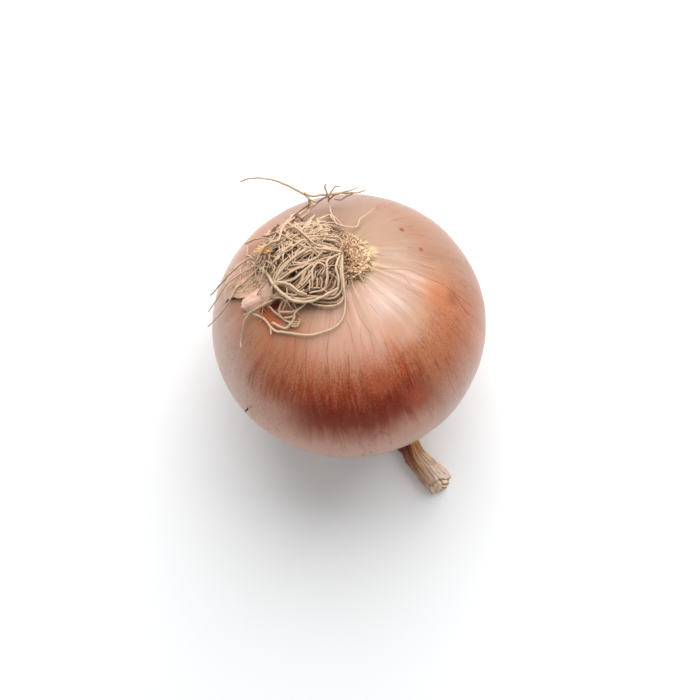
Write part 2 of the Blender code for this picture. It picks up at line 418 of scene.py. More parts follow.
UNDERSIDE = ((0.68, "#b08263"), (0.82, "#a2704a"), (1.0, "#6f3a20"))
# From about 0.4 to 0.56 the bands turn pale: partly the skin's own colour, partly a painted reflection of the
# white floor.
SKIN_SIDES = (
    Side(90, 180, 181, (
        (0.04, "#91714f"), (0.10, "#92735d"), (0.17, "#92715e"), (0.23, "#8f7061"), (0.30, "#8a6f66"),
        (0.38, "#8a716b"), (0.50, "#967568"),
    )),
    Side(0, 34, 78, (
        (0.05, "#967756"), (0.11, "#9a7b64"), (0.17, "#977660"), (0.22, "#936850"), (0.28, "#946c53"),
        (0.34, "#97705b"), (0.40, "#9e7362"), (0.46, "#a77d6d"), (0.54, "#b28e7c"),
    )),
    Side(180, 40, 82, (
        (0.05, "#94775b"), (0.17, "#a58160"), (0.28, "#a8755c"), (0.34, "#b69280"), (0.40, "#c8a494"),
        (0.46, "#cfaa9a"), (0.54, "#cda493"),
    )),
    Side(-44, 12, 46, (
        (0.05, "#967756"), (0.17, "#b08d7c"), (0.23, "#b88c70"), (0.28, "#ac6e4e"), (0.34, "#a66443"),
        (0.39, "#aa6e52"), (0.43, "#b47f69"), (0.48, "#c0907f"), (0.56, "#c9a69a"),
    )),
    Side(-125, 6, 32, (
        (0.05, "#94775b"), (0.17, "#b48367"), (0.23, "#b07455"), (0.29, "#a66446"), (0.33, "#984b30"),
        (0.365, "#a56149"), (0.41, "#c48f7a"), (0.50, "#d09d86"), (0.56, "#d1a091"),
    )),
    Side(-92, 10, 40, (
        (0.04, "#896542"), (0.11, "#a77e64"), (0.17, "#bf9580"), (0.225, "#c4907a"), (0.28, "#b26c4d"),
        (0.325, "#9c4526"), (0.385, "#781f08"), (0.43, "#86361f"), (0.465, "#ae6c56"), (0.51, "#cb9681"),
        (0.56, "#cf9b87"),
    )),
)


@dataclass(frozen=True)
class OnionSkin:
    """Dry outer skin of a brown onion: a thin satin sheet that takes a soft, streaky shine.

    Its colour runs from peach at the root end over orange-brown to a deep red-brown round the middle,
    and fine veins run over it from end to end. Sizes are in millimetres. The grain of a real skin is
    near 0.1 mm and is drawn four times as coarse, so that it shows.
    """

    form: BulbForm
    streak_width: float = 1.5
    vein_spacing: float = 4.6
    grain_width: float = 0.42
    roughness: float = 0.36
    stroke_strength: float = 0.42
    patches: tuple[Patch, ...] = (
        Patch(19.6, 9.2, 0.95, "#87301a", 0.55), Patch(24.0, 2.2, 0.85, "#87301a", 0.55),
        # The near-black patches at (-18.9, -7.6) and (-22.6, -7.4) are painted shade under the curled flap's
        # lifted edge, over darker inner skin.
        Patch(-20.5, -9.9, 6.4, "#ae5a36", 0.2), Patch(-18.9, -7.6, 2.3, "#4c1208", 0.6),
        Patch(-22.6, -7.4, 2.0, "#6e200f", 0.5), Patch(-15.2, 16.4, 1.7, "#7c5446", 0.4),
        # The pale patches at (10, -14) and (15.5, -24) are partly the skin's paler colour and partly a
        # painted highlight.
        Patch(10.0, -14.0, 7.5, "#c2a394"), Patch(15.5, -24.0, 5.0, "#c0907a"),
        Patch(6.5, -37.0, 5.0, "#a55234"), Patch(18.5, -43.5, 5.5, "#a94f35"),
        Patch(27.5, -12.5, 8.0, "#ae6b46"), Patch(33.0, -12.0, 3.2, "#8f4f38", 0.1),
        Patch(9.4, 0.6, 2.6, "#cfae80", 0.1), Patch(8.9, -3.4, 2.2, "#c9a074", 0.1),
    )

    def material(self) -> bpy.types.Material:
        """Build the skin's material, with patterns laid along the bulb's meridians."""
        material, tree, shader = new_material("dry_onion_skin", self.roughness)
        at = SkinPlace(tree, self.form)
        streaks = at.pattern(at.lines, 1 / self.streak_width, 5, 0.62)
        grain = at.pattern(at.own, 1 / self.grain_width, 2, 0.6)
        colour = self.sides(at, streaks, grain)
        colour = self.lay_strokes(at, colour)
        colour = self.lay_patches(at, colour, streaks)
        # Pale bloom, partly a painted highlight of the soft light.
        colour = self.lay_bloom_and_highlight(at, colour)
        veins = self.veins(at)
        colour = lay(tree, colour, "#7c4630", veins)
        colour = self.lay_grain(at, colour, grain)
        self.shine(at, shader, colour, streaks, veins)
        return material

    def sides(self, at: SkinPlace, streaks: Socket, grain: Socket) -> Socket:
        """Colours of the skin's sides, blended by bearing, with brushed and uneven borders; their pale rim
        bands are partly a painted reflection.

        Args:
            at: Places on the skin.
            streaks: Fine streaks.
            grain: Grain noise.

        Returns:
            The colour.
        """
        broad = at.pattern(at.lines, 0.16, 3, 0.55)
        place = at.along
        for push, value in ((0.11, broad), (0.08, streaks), (0.06, grain)):
            offset = add_node(at.tree, "Math", {0: value, 1: push, 2: -push / 2}, operation="MULTIPLY_ADD")
            place = add_node(at.tree, "Math", {0: place, 1: offset})
        uneven = add_node(at.tree, "Math", {0: broad, 1: 0.3, 2: -0.15}, operation="MULTIPLY_ADD")
        colours = [
            add_node(at.tree, "ValToRGB", {0: place}, stops=side.bands + UNDERSIDE) for side in SKIN_SIDES
        ]
        colour = colours[0]
        for side, over in zip(SKIN_SIDES[1:], colours[1:]):
            facing = add_node(at.tree, "Math", {0: at.facing(side.bearing), 1: uneven})
            limits = (facing, cos(radians(side.gone)), cos(radians(side.pure)))
            colour = lay(at.tree, colour, over, within(at.tree, 1.0, limits))
        return colour

    def lay_strokes(self, at: SkinPlace, colour: Socket) -> Socket:
        """Short lengthwise strokes, dark and pale, that brush the dark belt of the front.

        Args:
            at: Places on the skin.
            colour: Colour beneath.

        Returns:
            The colour with its strokes.
        """
        short = add_node(at.tree, "Mapping", {"Vector": at.lines, "Scale": (1, 1, 2)})
        strokes = at.pattern(short, 1.3, 3, 0.6)
        belt = ((at.along, 0.20, 0.30), (at.along, 0.43, 0.34), (at.facing(-80), -0.2, 0.5))
        for stroke_colour, full in (("#6e210c", 0.30), ("#b9714a", 0.70)):
            share = within(at.tree, self.stroke_strength, (strokes, 0.50, full), *belt)
            colour = lay(at.tree, colour, stroke_colour, share)
        return colour

    def lay_patches(self, at: SkinPlace, colour: Socket, streaks: Socket) -> Socket:
        """Spots and stains, a painted highlight and painted shade, with borders that the streaks make uneven.

        Args:
            at: Places on the skin.
            colour: Colour beneath.
            streaks: Fine streaks.

        Returns:
            The colour with its patches.
        """
        for patch in self.patches:
            radius = patch.radius * MM
            middle = self.form.over_skin((patch.east, patch.north, 0))
            away = add_node(at.tree, "VectorMath", {0: at.row, 1: middle}, "Value", operation="DISTANCE")
            values = {0: streaks, 1: 0.8 * radius, 2: away}
            uneven = add_node(at.tree, "Math", values, operation="MULTIPLY_ADD")
            share = within(at.tree, 0.92, (uneven, 1.45 * radius, (0.35 + patch.crisp) * radius))
            colour = lay(at.tree, colour, patch.colour, share)
        return colour

    def lay_bloom_and_highlight(self, at: SkinPlace, colour: Socket) -> Socket:
        """Pale papery bloom, partly a painted highlight of the soft light, in soft, broken streaks over the
        root half of the front right.

        Args:
            at: Places on the skin.
            colour: Colour beneath.

        Returns:
            The colour with its bloom.
        """
        broken = add_node(at.tree, "MapRange", {
            0: at.pattern(at.own, 0.17, 3, 0.6), 1: 0.36, 2: 0.64, 3: 0.2, 4: 0.5
        }, interpolation_type="SMOOTHSTEP")
        streaks = at.pattern(at.lines, 0.34, 3, 0.55)
        limits = ((streaks, 0.42, 0.70), (at.along, 0.30, 0.14), (at.facing(-62), 0.1, 0.95))
        return lay(at.tree, colour, "#dfc3b6", within(at.tree, broken, *limits))

    def veins(self, at: SkinPlace) -> Socket:
        """Share of fine veins: the level lines of a stretched noise, broken up by a second one."""
        longer = add_node(at.tree, "Mapping", {"Vector": at.lines, "Scale": (1, 1, 0.3)})
        cells = at.pattern(longer, 1 / self.vein_spacing, 1, 0.4)
        middle = add_node(at.tree, "Math", {0: cells, 1: 0.5}, operation="SUBTRACT")
        apart = add_node(at.tree, "Math", {0: middle}, operation="ABSOLUTE")
        here = at.pattern(at.own, 0.11, 3, 0.65)
        return within(at.tree, 0.5, (apart, 0.016, 0.0), (here, 0.44, 0.64))

    def lay_grain(self, at: SkinPlace, colour: Socket, grain: Socket) -> Socket:
        """Fine dark and pale grain where the skin is darkest, strongest over the front.

        Args:
            at: Places on the skin.
            colour: Colour beneath.
            grain: Grain noise.

        Returns:
            The colour with its grain.
        """
        front = add_node(at.tree, "MapRange", {
            0: at.facing(-90), 1: -0.4, 2: 0.6, 3: 0.3, 4: 1.0
        }, interpolation_type="SMOOTHSTEP")
        belt = within(at.tree, front, (at.along, 0.20, 0.33), (at.along, 0.60, 0.46))
        for grain_colour, start, full, strength in (
            ("#5a2010", 0.52, 0.68, 0.42), ("#cc9576", 0.47, 0.30, 0.11)
        ):
            here = add_node(at.tree, "Math", {0: belt, 1: strength}, operation="MULTIPLY")
            colour = lay(at.tree, colour, grain_colour, within(at.tree, here, (grain, start, full)))
        return colour

    def shine(
        self, at: SkinPlace, shader: bpy.types.Node, colour: Socket, streaks: Socket, veins: Socket
    ) -> None:
        """Satin shine, uneven along the streaks, over fine lengthwise ribs.

        Args:
            at: Places on the skin.
            shader: The Principled shader.
            colour: The finished colour.
            streaks: Fine streaks.
            veins: Share of veins.
        """
        rough = add_node(
            at.tree, "Math", {0: streaks, 1: 0.20, 2: self.roughness - 0.10}, operation="MULTIPLY_ADD"
        )
        at.tree.links.new(rough, shader.inputs["Roughness"])
        shader.inputs["Specular IOR Level"].default_value = 0.30
        shader.inputs["IOR"].default_value = 1.47
        shader.inputs["Sheen Weight"].default_value = 0.03
        shader.inputs["Sheen Roughness"].default_value = 0.45
        ribs = at.pattern(at.lines, 0.62, 3, 0.55)
        height = add_node(at.tree, "Math", {0: streaks, 1: 0.25, 2: ribs}, operation="MULTIPLY_ADD")
        grooves = add_node(at.tree, "Math", {0: veins, 1: -0.10, 2: height}, operation="MULTIPLY_ADD")
        dress(shader, colour, grooves, 0.25, 0.2)


@dataclass(frozen=True)
class DryFibre:
    """Dry plant fibre, such as an onion's roots: matt, straw-coloured, wrinkled along its length.

    Each strand has a tone, from a pale straw to a grey tan, kept in the attribute tone. In the root tuft,
    the tone is partly painted shade, darker where a strand lies deep or under others.
    """

    name: str
    pale: str = "#c5aa8e"
    middle: str = "#a6866a"
    dark: str = "#42200b"
    grain: float = 0.5
    roughness: float = 0.78

    def material(self) -> bpy.types.Material:
        """Build the fibre's material, mottled over each strand's tone."""
        material, tree, shader = new_material(self.name, self.roughness)
        place = add_node(tree, "TexCoord", output="Object")
        tone = add_node(tree, "Attribute", output="Fac", attribute_name="tone")
        mottle = add_node(tree, "TexNoise", {"Vector": place, "Scale": 1 / (1.6 * MM), "Detail": 3.0})
        mixed = add_node(tree, "Math", {0: mottle, 1: 0.35, 2: tone}, operation="MULTIPLY_ADD")
        tones = ((0.2, self.dark), (0.62, self.middle), (1.0, self.pale))
        colour = add_node(tree, "ValToRGB", {0: mixed}, stops=tones)
        wrinkle = add_node(
            tree, "TexNoise", {"Vector": place, "Scale": 1 / (self.grain * MM), "Detail": 4.0}
        )
        dress(shader, colour, wrinkle, 0.6, 0.15)
        return material


@dataclass(frozen=True)
class PaperySkin:
    """Torn dry skin: paper-thin, satin to matt, with darker veins along its length."""

    name: str
    colour: str
    dark: str
    roughness: float = 0.5
    vein_width: float = 0.9

    def material(self) -> bpy.types.Material:
        """Build the papery material, with streaks along the piece's own V direction."""
        material, tree, shader = new_material(self.name, self.roughness)
        shader.inputs["Sheen Weight"].default_value = 0.15
        place = add_node(tree, "UVMap", uv_map="sheet")
        stretched = add_node(tree, "Mapping", {"Vector": place, "Scale": (1.0, 0.12, 1.0)})
        streaks = add_node(
            tree, "TexNoise", {"Vector": stretched, "Scale": 1 / self.vein_width, "Detail": 4.0}
        )
        colour = add_node(tree, "ValToRGB", {0: streaks}, stops=((0.3, self.dark), (0.62, self.colour)))
        dress(shader, colour, streaks, 0.5, 0.12)
        return material


# --------------------------------------------------------------------------------------------------
# Mesh building
# --------------------------------------------------------------------------------------------------


class Pile:
    """Collects small meshes that make up one piece, each with a tone of its own."""

    def __init__(self) -> None:
        """Start an empty pile."""
        self.mesh = bmesh.new()
        self.mesh.verts.layers.float.new("tone")

    def add(self, part: Mesh, tone: float) -> None:
        """Add a part and free it.

        Args:
            part: The part's mesh.
            tone: Its tone, from 0, dark, to 1, pale.
        """
        layer = part.verts.layers.float.new("tone")
        for vert in part.verts:
            vert[layer] = tone
        data = bpy.data.meshes.new("part")
        part.to_mesh(data)
        part.free()
        self.mesh.from_mesh(data)
        bpy.data.meshes.remove(data)


def add_object(name: str, mesh: Mesh, material: bpy.types.Material) -> bpy.types.Object:
    """Turn a mesh into an object of the scene.

    Args:
        name: The object's name.
        mesh: Its mesh, which is freed.
        material: Its material.

    Returns:
        The new object.
    """
    data = bpy.data.meshes.new(name)
    mesh.to_mesh(data)
    mesh.free()
    data.materials.append(material)
    thing = bpy.data.objects.new(name, data)
    bpy.context.scene.collection.objects.link(thing)
    return thing


def add_piece(name: str, mesh: Mesh, material: bpy.types.Material, slot: str, *stands_for: str) -> None:
    """Turn a finished mesh into a piece of the onion.

    Args:
        name: The piece's name.
        mesh: Its mesh, in the row's frame, which is freed.
        material: Its material.
        slot: The record's material slot; not used.
        stands_for: CAD nodes that the piece replaces.
    """
    bmesh.ops.remove_doubles(mesh, verts=mesh.verts, dist=WELD)
    bmesh.ops.recalc_face_normals(mesh, faces=mesh.faces)
    piece = add_object(name, mesh, material)
    piece.data.shade_smooth()
    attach(piece, "root")
    if stands_for:
        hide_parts(*stands_for)
    LOG.info("%s: %d faces", name, len(piece.data.polygons))


def thicken(mesh: Mesh, thickness: float) -> None:
    """Turn an open sheet into a closed shell.

    Args:
        mesh: The sheet.
        thickness: Thickness on the side away from its normals, in millimetres.
    """
    mesh.normal_update()
    shell = bmesh.ops.extrude_face_region(mesh, geom=mesh.faces[:], use_keep_orig=True)
    for item in shell["geom"]:
        if isinstance(item, bmesh.types.BMVert):
            item.co -= item.normal * thickness * MM


def lay_grid(mesh: Mesh, columns: int, rows: int, wide: float, high: float) -> None:
    """Start a mesh as a flat grid from -1 to 1, mapped in millimetres for papery skin.

    Args:
        mesh: Mesh that takes the grid.
        columns: Its vertices across.
        rows: Its vertices along.
        wide: Half the width that the map shows, in millimetres.
        high: Half the height that it shows.
    """
    bmesh.ops.create_grid(mesh, x_segments=columns, y_segments=rows, size=1)
    layer = mesh.loops.layers.uv.new("sheet")
    for face in mesh.faces:
        for loop in face.loops:
            loop[layer].uv = (loop.vert.co.x * wide, loop.vert.co.y * high)


def spin(mesh: Mesh, outline: Sequence[Point], steps: int, cuts: int, weld: float) -> None:
    """Start a mesh as a body of revolution round Z.

    Args:
        mesh: Mesh that takes the body.
        outline: Half outline, in the XZ plane.
        steps: Steps round the body.
        cuts: Cuts in each edge of the outline.
        weld: Distance within which vertices merge, which closes its poles.
    """
    verts = [mesh.verts.new(point) for point in outline]
    edges = [mesh.edges.new(pair) for pair in zip(verts, verts[1:])]
    if cuts:
        bmesh.ops.subdivide_edges(mesh, edges=edges, cuts=cuts)
    bmesh.ops.spin(
        mesh, geom=mesh.verts[:] + mesh.edges[:], axis=(0, 0, 1), angle=2 * pi, steps=steps, use_merge=True
    )
    bmesh.ops.remove_doubles(mesh, verts=mesh.verts, dist=weld)


def frames_along(path: Sequence[Vector], first_side: Vector) -> list[Matrix]:
    """Frames along a path that turn as little as they can.

    Args:
        path: Points of the path.
        first_side: Rough direction of the first frame's X.

    Returns:
        One matrix a point, with Z along the path.
    """
    side = first_side
    frames = []
    for index, place in enumerate(path):
        ahead = path[min(index + 1, len(path) - 1)] - path[max(index - 1, 0)]
        ahead.normalize()
        side = (side - ahead * side.dot(ahead)).normalized()
        turn = Matrix((side, ahead.cross(side), ahead)).transposed().to_4x4()
        frames.append(Matrix.Translation(place) @ turn)
    return frames


def loft(mesh: Mesh, sides: int, stations: Sequence[Matrix]) -> list[list[bmesh.types.BMEdge]]:
    """Tube from a unit circle that is extruded from station to station.

    Each vertex keeps its angle round the circle and its station's number, as turn and row.

    Args:
        mesh: Mesh that takes the tube.
        sides: Sides of the tube.
        stations: Matrices that place and size the circle.

    Returns:
        The edges of the first and of the last ring.
    """
    turn_layer = mesh.verts.layers.float.new("turn")
    row_layer = mesh.verts.layers.float.new("row")
    ring = bmesh.ops.create_circle(mesh, cap_ends=False, segments=sides, radius=1)["verts"]
    unit = [vert.co.copy() for vert in ring]
    edges = list({edge for vert in ring for edge in vert.link_edges})
    first = edges
    for index, station in enumerate(stations):
        if index:
            made = bmesh.ops.extrude_edge_only(mesh, edges=edges)["geom"]
            order = {vert: number for number, vert in enumerate(ring)}
            fresh: list[Any] = [None] * sides
            for item in made:
                if isinstance(item, bmesh.types.BMVert):
                    old = next(e.other_vert(item) for e in item.link_edges if e.other_vert(item) in order)
                    fresh[order[old]] = item
            ring = fresh
            members = set(ring)
            edges = [
                item for item in made
                if isinstance(item, bmesh.types.BMEdge) and set(item.verts) <= members
            ]
        for vert, start in zip(ring, unit):
            vert[turn_layer] = atan2(start.y, start.x)
            vert[row_layer] = index
            vert.co = station @ start
    return [first, edges]


@dataclass
class Strand:
    """One dry root: a wiry tube with small kinks and uneven thickness, thin at its tip.

    Its points are in the row's frame, and its width, wander and kinks in millimetres. A sunk strand
    lies half in the skin and is thin at both ends.
    """

    form: BulbForm
    points: Sequence[Vector]
    width: float
    seed: int
    stations: int = 26
    sides: int = 7
    wander: float = 0.5
    kink: float = 0.12
    tip: float = 0.45
    free_start: bool = True
    sunk: bool = False

    def path(self) -> list[Vector]:
        """The strand's middle line, with slow wander and small kinks, kept clear of the skin."""
        path = []
        offset = Vector((self.seed * 0.37, self.seed * 0.71, self.seed * 0.13))
        for step in range(self.stations):
            share = step / (self.stations - 1)
            place = between(self.points, share)
            loose = 1.0 if self.free_start else ease(0.0, 0.25, share)
            slow = noise.noise_vector(place / (7 * MM) + offset) * self.wander * loose
            quick = noise.noise_vector(place / (1.5 * MM) + offset * 2) * self.kink
            place = place + (slow + quick) * MM
            if self.sunk:
                path.append(self.form.on_relief(place))
            else:
                path.append(self.form.clear(place, 0.55 * self.width * MM))
        return path

    def build(self) -> Mesh:
        """Sweep the strand and close its ends."""
        mesh = bmesh.new()
        path = self.path()
        stations = []
        for index, frame_here in enumerate(frames_along(path, Vector((0.31, 0.52, 0.79)))):
            share = index / (len(path) - 1)
            swell = 1 + 0.16 * noise.noise(path[index] / (1.1 * MM) + Vector((self.seed, 0, 0)))
            thin = 1 - (1 - self.tip) * ease(0.45, 1.0, abs(2 * share - 1) if self.sunk else share)
            size = self.width * MM / 2 * swell * thin
            stations.append(frame_here @ Matrix.Diagonal((size, size * 0.88, 1, 1)))
        for ring in loft(mesh, self.sides, stations):
            bmesh.ops.edgeloop_fill(mesh, edges=ring)
        return mesh


# --------------------------------------------------------------------------------------------------
# The bulb
# --------------------------------------------------------------------------------------------------


@dataclass(frozen=True)
class Bulb:
    """The bulb: a squat, slightly uneven body of revolution with lengthwise ribs."""

    form: BulbForm
    rounds: int = 240
    rows: int = 110
    shoulder_rows: int = 16
    shoulder_radius: float = 18 * MM
    shoulder_rise: float = 7.7 * MM
    neck_radius: float = 4.6 * MM

    def outline(self) -> list[Vector]:
        """Half outline from the root end to the neck."""
        points = []
        for row in range(self.rows + 1):
            angle = pi * row / self.rows
            distance = self.form.radius * sin(angle)
            height = self.form.half_height * cos(angle)
            if height < 0 and distance < self.shoulder_radius:
                break
            points.append(Vector((distance, 0, height)))
        for step in range(1, self.shoulder_rows + 1):
            share = step / self.shoulder_rows
            distance = self.shoulder_radius + (self.neck_radius - self.shoulder_radius) * share
            skin = self.form.half_height * sqrt(1 - (distance / self.form.radius) ** 2)
            rise = self.shoulder_rise * (1 - distance / self.shoulder_radius) ** 2
            points.append(Vector((distance, 0, -skin - rise)))
        points.append(Vector((0, 0, points[-1].z)))
        return points

    def build(self) -> None:
        """Spin the outline, add the relief and press the flat spot."""
        mesh = bmesh.new()
        spin(mesh, self.outline(), self.rounds, 0, WELD)
        for vert in mesh.verts:
            if hypot(vert.co.x, vert.co.y) > 0.5 * MM:
                vert.co += self.form.out_at(vert.co) * self.form.relief(vert.co)
            vert.co = self.form.matrix @ vert.co
            vert.co.z = max(vert.co.z, 0.0)
        add_piece("onion_bulb", mesh, OnionSkin(self.form).material(), "bulb_skin", "bulb")


# Raised veins of the skin: width, tone, then places (east, north) in mm.
VEINS: tuple[tuple[float, float, Places], ...] = (
    (0.17, 0.70, ((9, -4), (12, -5), (19, -5.5), (25, -7.5), (32, -9.5), (40.5, -13))),
    (0.14, 0.80, ((13, -6), (16.5, -7), (18, -9), (19.5, -11))),
    (0.16, 0.75, ((2.5, -14), (3.5, -19.5), (5.5, -23.5))),
    (0.15, 0.80, ((6, -14.5), (8.5, -18.5))),
    (0.15, 0.75, ((-1, -17.5), (0, -21), (0.5, -26.5))),
    (0.15, 0.60, ((8.5, -25), (10, -30))),
    (0.21, 0.30, ((17.5, -31), (19, -33.5), (20.5, -35.5))),
    (0.20, 0.30, ((16.5, -33), (19, -39.5), (20.5, -43))),
    (0.21, 0.30, ((11, -34.5), (13, -37.5), (14, -41), (13, -44.5))),
    (0.21, 0.40, ((32.5, -10), (37.5, -14.5), (40.5, -16))),
    (0.16, 0.70, ((17.5, 4.5), (20, 6.5), (23.5, 8.5), (28, 8.5))),
    (0.16, 0.35, ((-2, -26.5), (-2.5, -31.5), (-4, -39))),
    (0.16, 0.40, ((-12.5, -22), (-16.5, -34))),
    (0.15, 0.40, ((-6, -20), (-10, -36.5))),
    (0.15, 0.45, ((-15, -18.5), (-19, -27.5))),
)


@dataclass(frozen=True)
class SkinVeins:
    """A few longer veins that stand a little proud of the skin."""

    form: BulbForm
    first_seed: int = 900
    pace: float = 0.4

    def build(self) -> None:
        """Sweep each vein, half sunk in the skin and thin at both ends."""
        pile = Pile()
        for seed, (width, tone, places) in enumerate(VEINS, self.first_seed):
            points = [self.form.over_skin((*place, 0.0)) for place in places]
            strand = Strand(
                self.form, points, width, seed, stations_for(points, self.pace), sides=5, kink=0.06,
                tip=0.2, sunk=True
            )
            pile.add(strand.build(), tone)
        vein = DryFibre("skin_vein", "#b48468", "#98603f", "#6a2410", grain=0.4, roughness=0.5)
        add_piece("skin_veins", pile.mesh, vein.material(), "bulb_skin")


# --------------------------------------------------------------------------------------------------
# Roots
# --------------------------------------------------------------------------------------------------


@dataclass(frozen=True)
class Lock:
    """A lock of roots that lie side by side between neighbouring routes.

    Widths and spreads are in millimetres, lengths are shares of the routes, and a lift of 1 lets the
    lowest strands sink to the skin.
    """

    routes: tuple[Places, ...]
    count: int
    width: tuple[float, float] = (0.5, 0.72)
    spread: float = 0.7
    lift: float = 0.55
    wander: float = 0.7
    length: tuple[float, float] = (0.72, 1.0)


# Routes of the locks, as places (east, north) in mm; their height follows the mat's.
COMB = Lock((
    ((1.2, 0.2), (-3, 1), (-7, 2.2), (-10.6, 1.6), (-13, -0.8), (-14.6, -4.4)),
    ((1.2, -0.4), (-2.5, -0.6), (-6.2, -0.8), (-9.8, -1.8), (-12.8, -4), (-15.2, -6)),
    ((1.2, -0.8), (-2, -2.2), (-5, -4), (-8, -6), (-11, -8), (-14, -8.6)),
    ((1.2, -1), (-1.2, -3.2), (-3.5, -6), (-6, -8.6), (-9.5, -10.2), (-13.5, -10)),
), 48)
SWIRL = Lock((
    ((1.2, -1), (-0.8, -4.2), (-2.2, -7.4), (-4.6, -9.6), (-9.5, -10.4), (-15, -8.8)),
    ((1.4, -1.1), (0.4, -4.4), (-0.5, -7.8), (-2.8, -10.4), (-7.5, -11.4), (-13, -10.2)),
    ((1.7, -1.2), (1.5, -4.8), (0.6, -8.4), (-1.6, -11), (-5.5, -12.2), (-10, -11.8)),
), 26, spread=0.5)
CROWN = Lock((
    ((1.4, 0.8), (-2, 2.6), (-6, 4.2), (-10, 6), (-14, 8), (-18, 9.2)),
    ((1.2, 1.8), (-2, 4.4), (-5, 6.6), (-8.5, 8.6), (-12, 10.4), (-15.5, 12.4)),
    ((1.6, 2.2), (0.2, 4.6), (-1.8, 6.8), (-4.6, 8.8), (-7.7, 10.8), (-10.2, 12.4)),
), 34, wander=1.3, length=(0.6, 0.9))
CROSS = Lock((
    ((-1, 7.5), (-4.5, 7.8), (-8, 8.4), (-11.5, 9.6), (-14.5, 11.6), (-17, 13.4)),
    ((-5, 12.5), (-8, 11), (-10.5, 8.6), (-12.5, 5.6), (-15, 2.8), (-18, 0.6)),
    ((-11, 14.5), (-12.4, 11.6), (-13.2, 8.4), (-14.4, 5.2), (-16.6, 2.4), (-19.6, -0.4)),
), 16, wander=1.6, spread=1.4)

# The long roots by CAD node: width, then places (east, north, height) in mm.
LONG_ROOTS: dict[str, tuple[float, Route]] = {
    "long_root_01": (0.75, (
        (-12, 11, 3), (-11, 13, 3), (-10, 16.5, 2.5), (-8.5, 19, 2), (-6, 19.5, 2.5), (-4, 18.5, 4),
        (-4.5, 20, 6), (-8.5, 20, 11), (-10.5, 20.5, 13), (-14, 20.5, 15.5), (-16.5, 21, 16))),
    "long_root_02": (0.75, (
        (-4.5, 20, 6.5), (-3, 18.5, 6), (-1, 19, 5.5), (1, 19, 5), (3.5, 20, 4.5), (6.5, 19.5, 4.5),
        (8.5, 19.5, 4.5), (10.5, 19.5, 5))),
    "long_root_03": (0.6, ((1, 21, 2.5), (3, 19.5, 4.5), (4, 19, 5), (6, 19, 5.5), (8.5, 19.5, 6))),
    "long_root_04": (0.65, (
        (-7, 14, 3), (-5.5, 16.5, 2), (-4, 19, 2), (-2, 20.5, 2.5), (0, 19.5, 4), (1, 18.5, 5),
        (3, 19, 7), (4, 18, 7.5))),
    "long_root_05": (0.45, (
        (1.5, 8.5, 3), (3, 9, 1.5), (5.5, 8.5, 1), (7, 9, 1), (8, 11, 1.5), (10, 13, 1.5),
        (12.5, 15.5, 2))),
    "long_root_06": (0.5, (
        (1, 19.5, 4), (1, 21.5, 2), (1, 19, 1.5), (1, 15.5, 1), (2, 13, 1), (3, 9.5, 1.5))),
    "long_root_07": (0.55, (
        (-20.5, 6.5, 2), (-22.5, 8.5, 2), (-25, 10, 1.5), (-28, 10, 1.5), (-31.5, 10, 1.5),
        (-39.5, 11, 1.5), (-43, 11.5, 2))),
    "long_root_08": (0.5, (
        (-20.5, 5.5, 2), (-23.5, 6, 1.5), (-28, 6.5, 1.5), (-33.5, 7, 1.5), (-39, 6, 1.5), (-45, 6, 2))),
    "long_root_09": (0.55, (
        (-20, 4, 2), (-24.5, 3, 1.5), (-29.5, 2.5, 1.5), (-32.5, 0.5, 1.5), (-39, -0.5, 1.5),
        (-46.5, 1, 2))),
    "long_root_10": (0.8, (
        (-6.5, -11.5, 4), (-9.5, -11, 3.5), (-12, -10, 3.5), (-15, -8, 3), (-20.5, -8, 2.5),
        (-25.5, -8, 2), (-28, -9, 2), (-30, -10.5, 1.5), (-32.5, -13, 1), (-33, -15, 1.5))),
    "long_root_11": (0.7, (
        (-26, -7.5, 2), (-22.5, -11, 1), (-20.5, -15, 1), (-16.5, -17.5, 1), (-12, -19.5, 1),
        (-8, -20, 1), (-4, -19.5, 1), (-1.5, -17.5, 1), (0, -14, 1.5), (0.5, -9, 3), (1.5, -3, 3.5))),
    "long_root_12": (0.65, (
        (-14, -9, 3), (-16, -9.5, 2), (-17.5, -11, 1.5), (-17.5, -12.5, 1), (-16.5, -14, 1),
        (-14.5, -15, 1), (-12.5, -15.5, 1))),
}

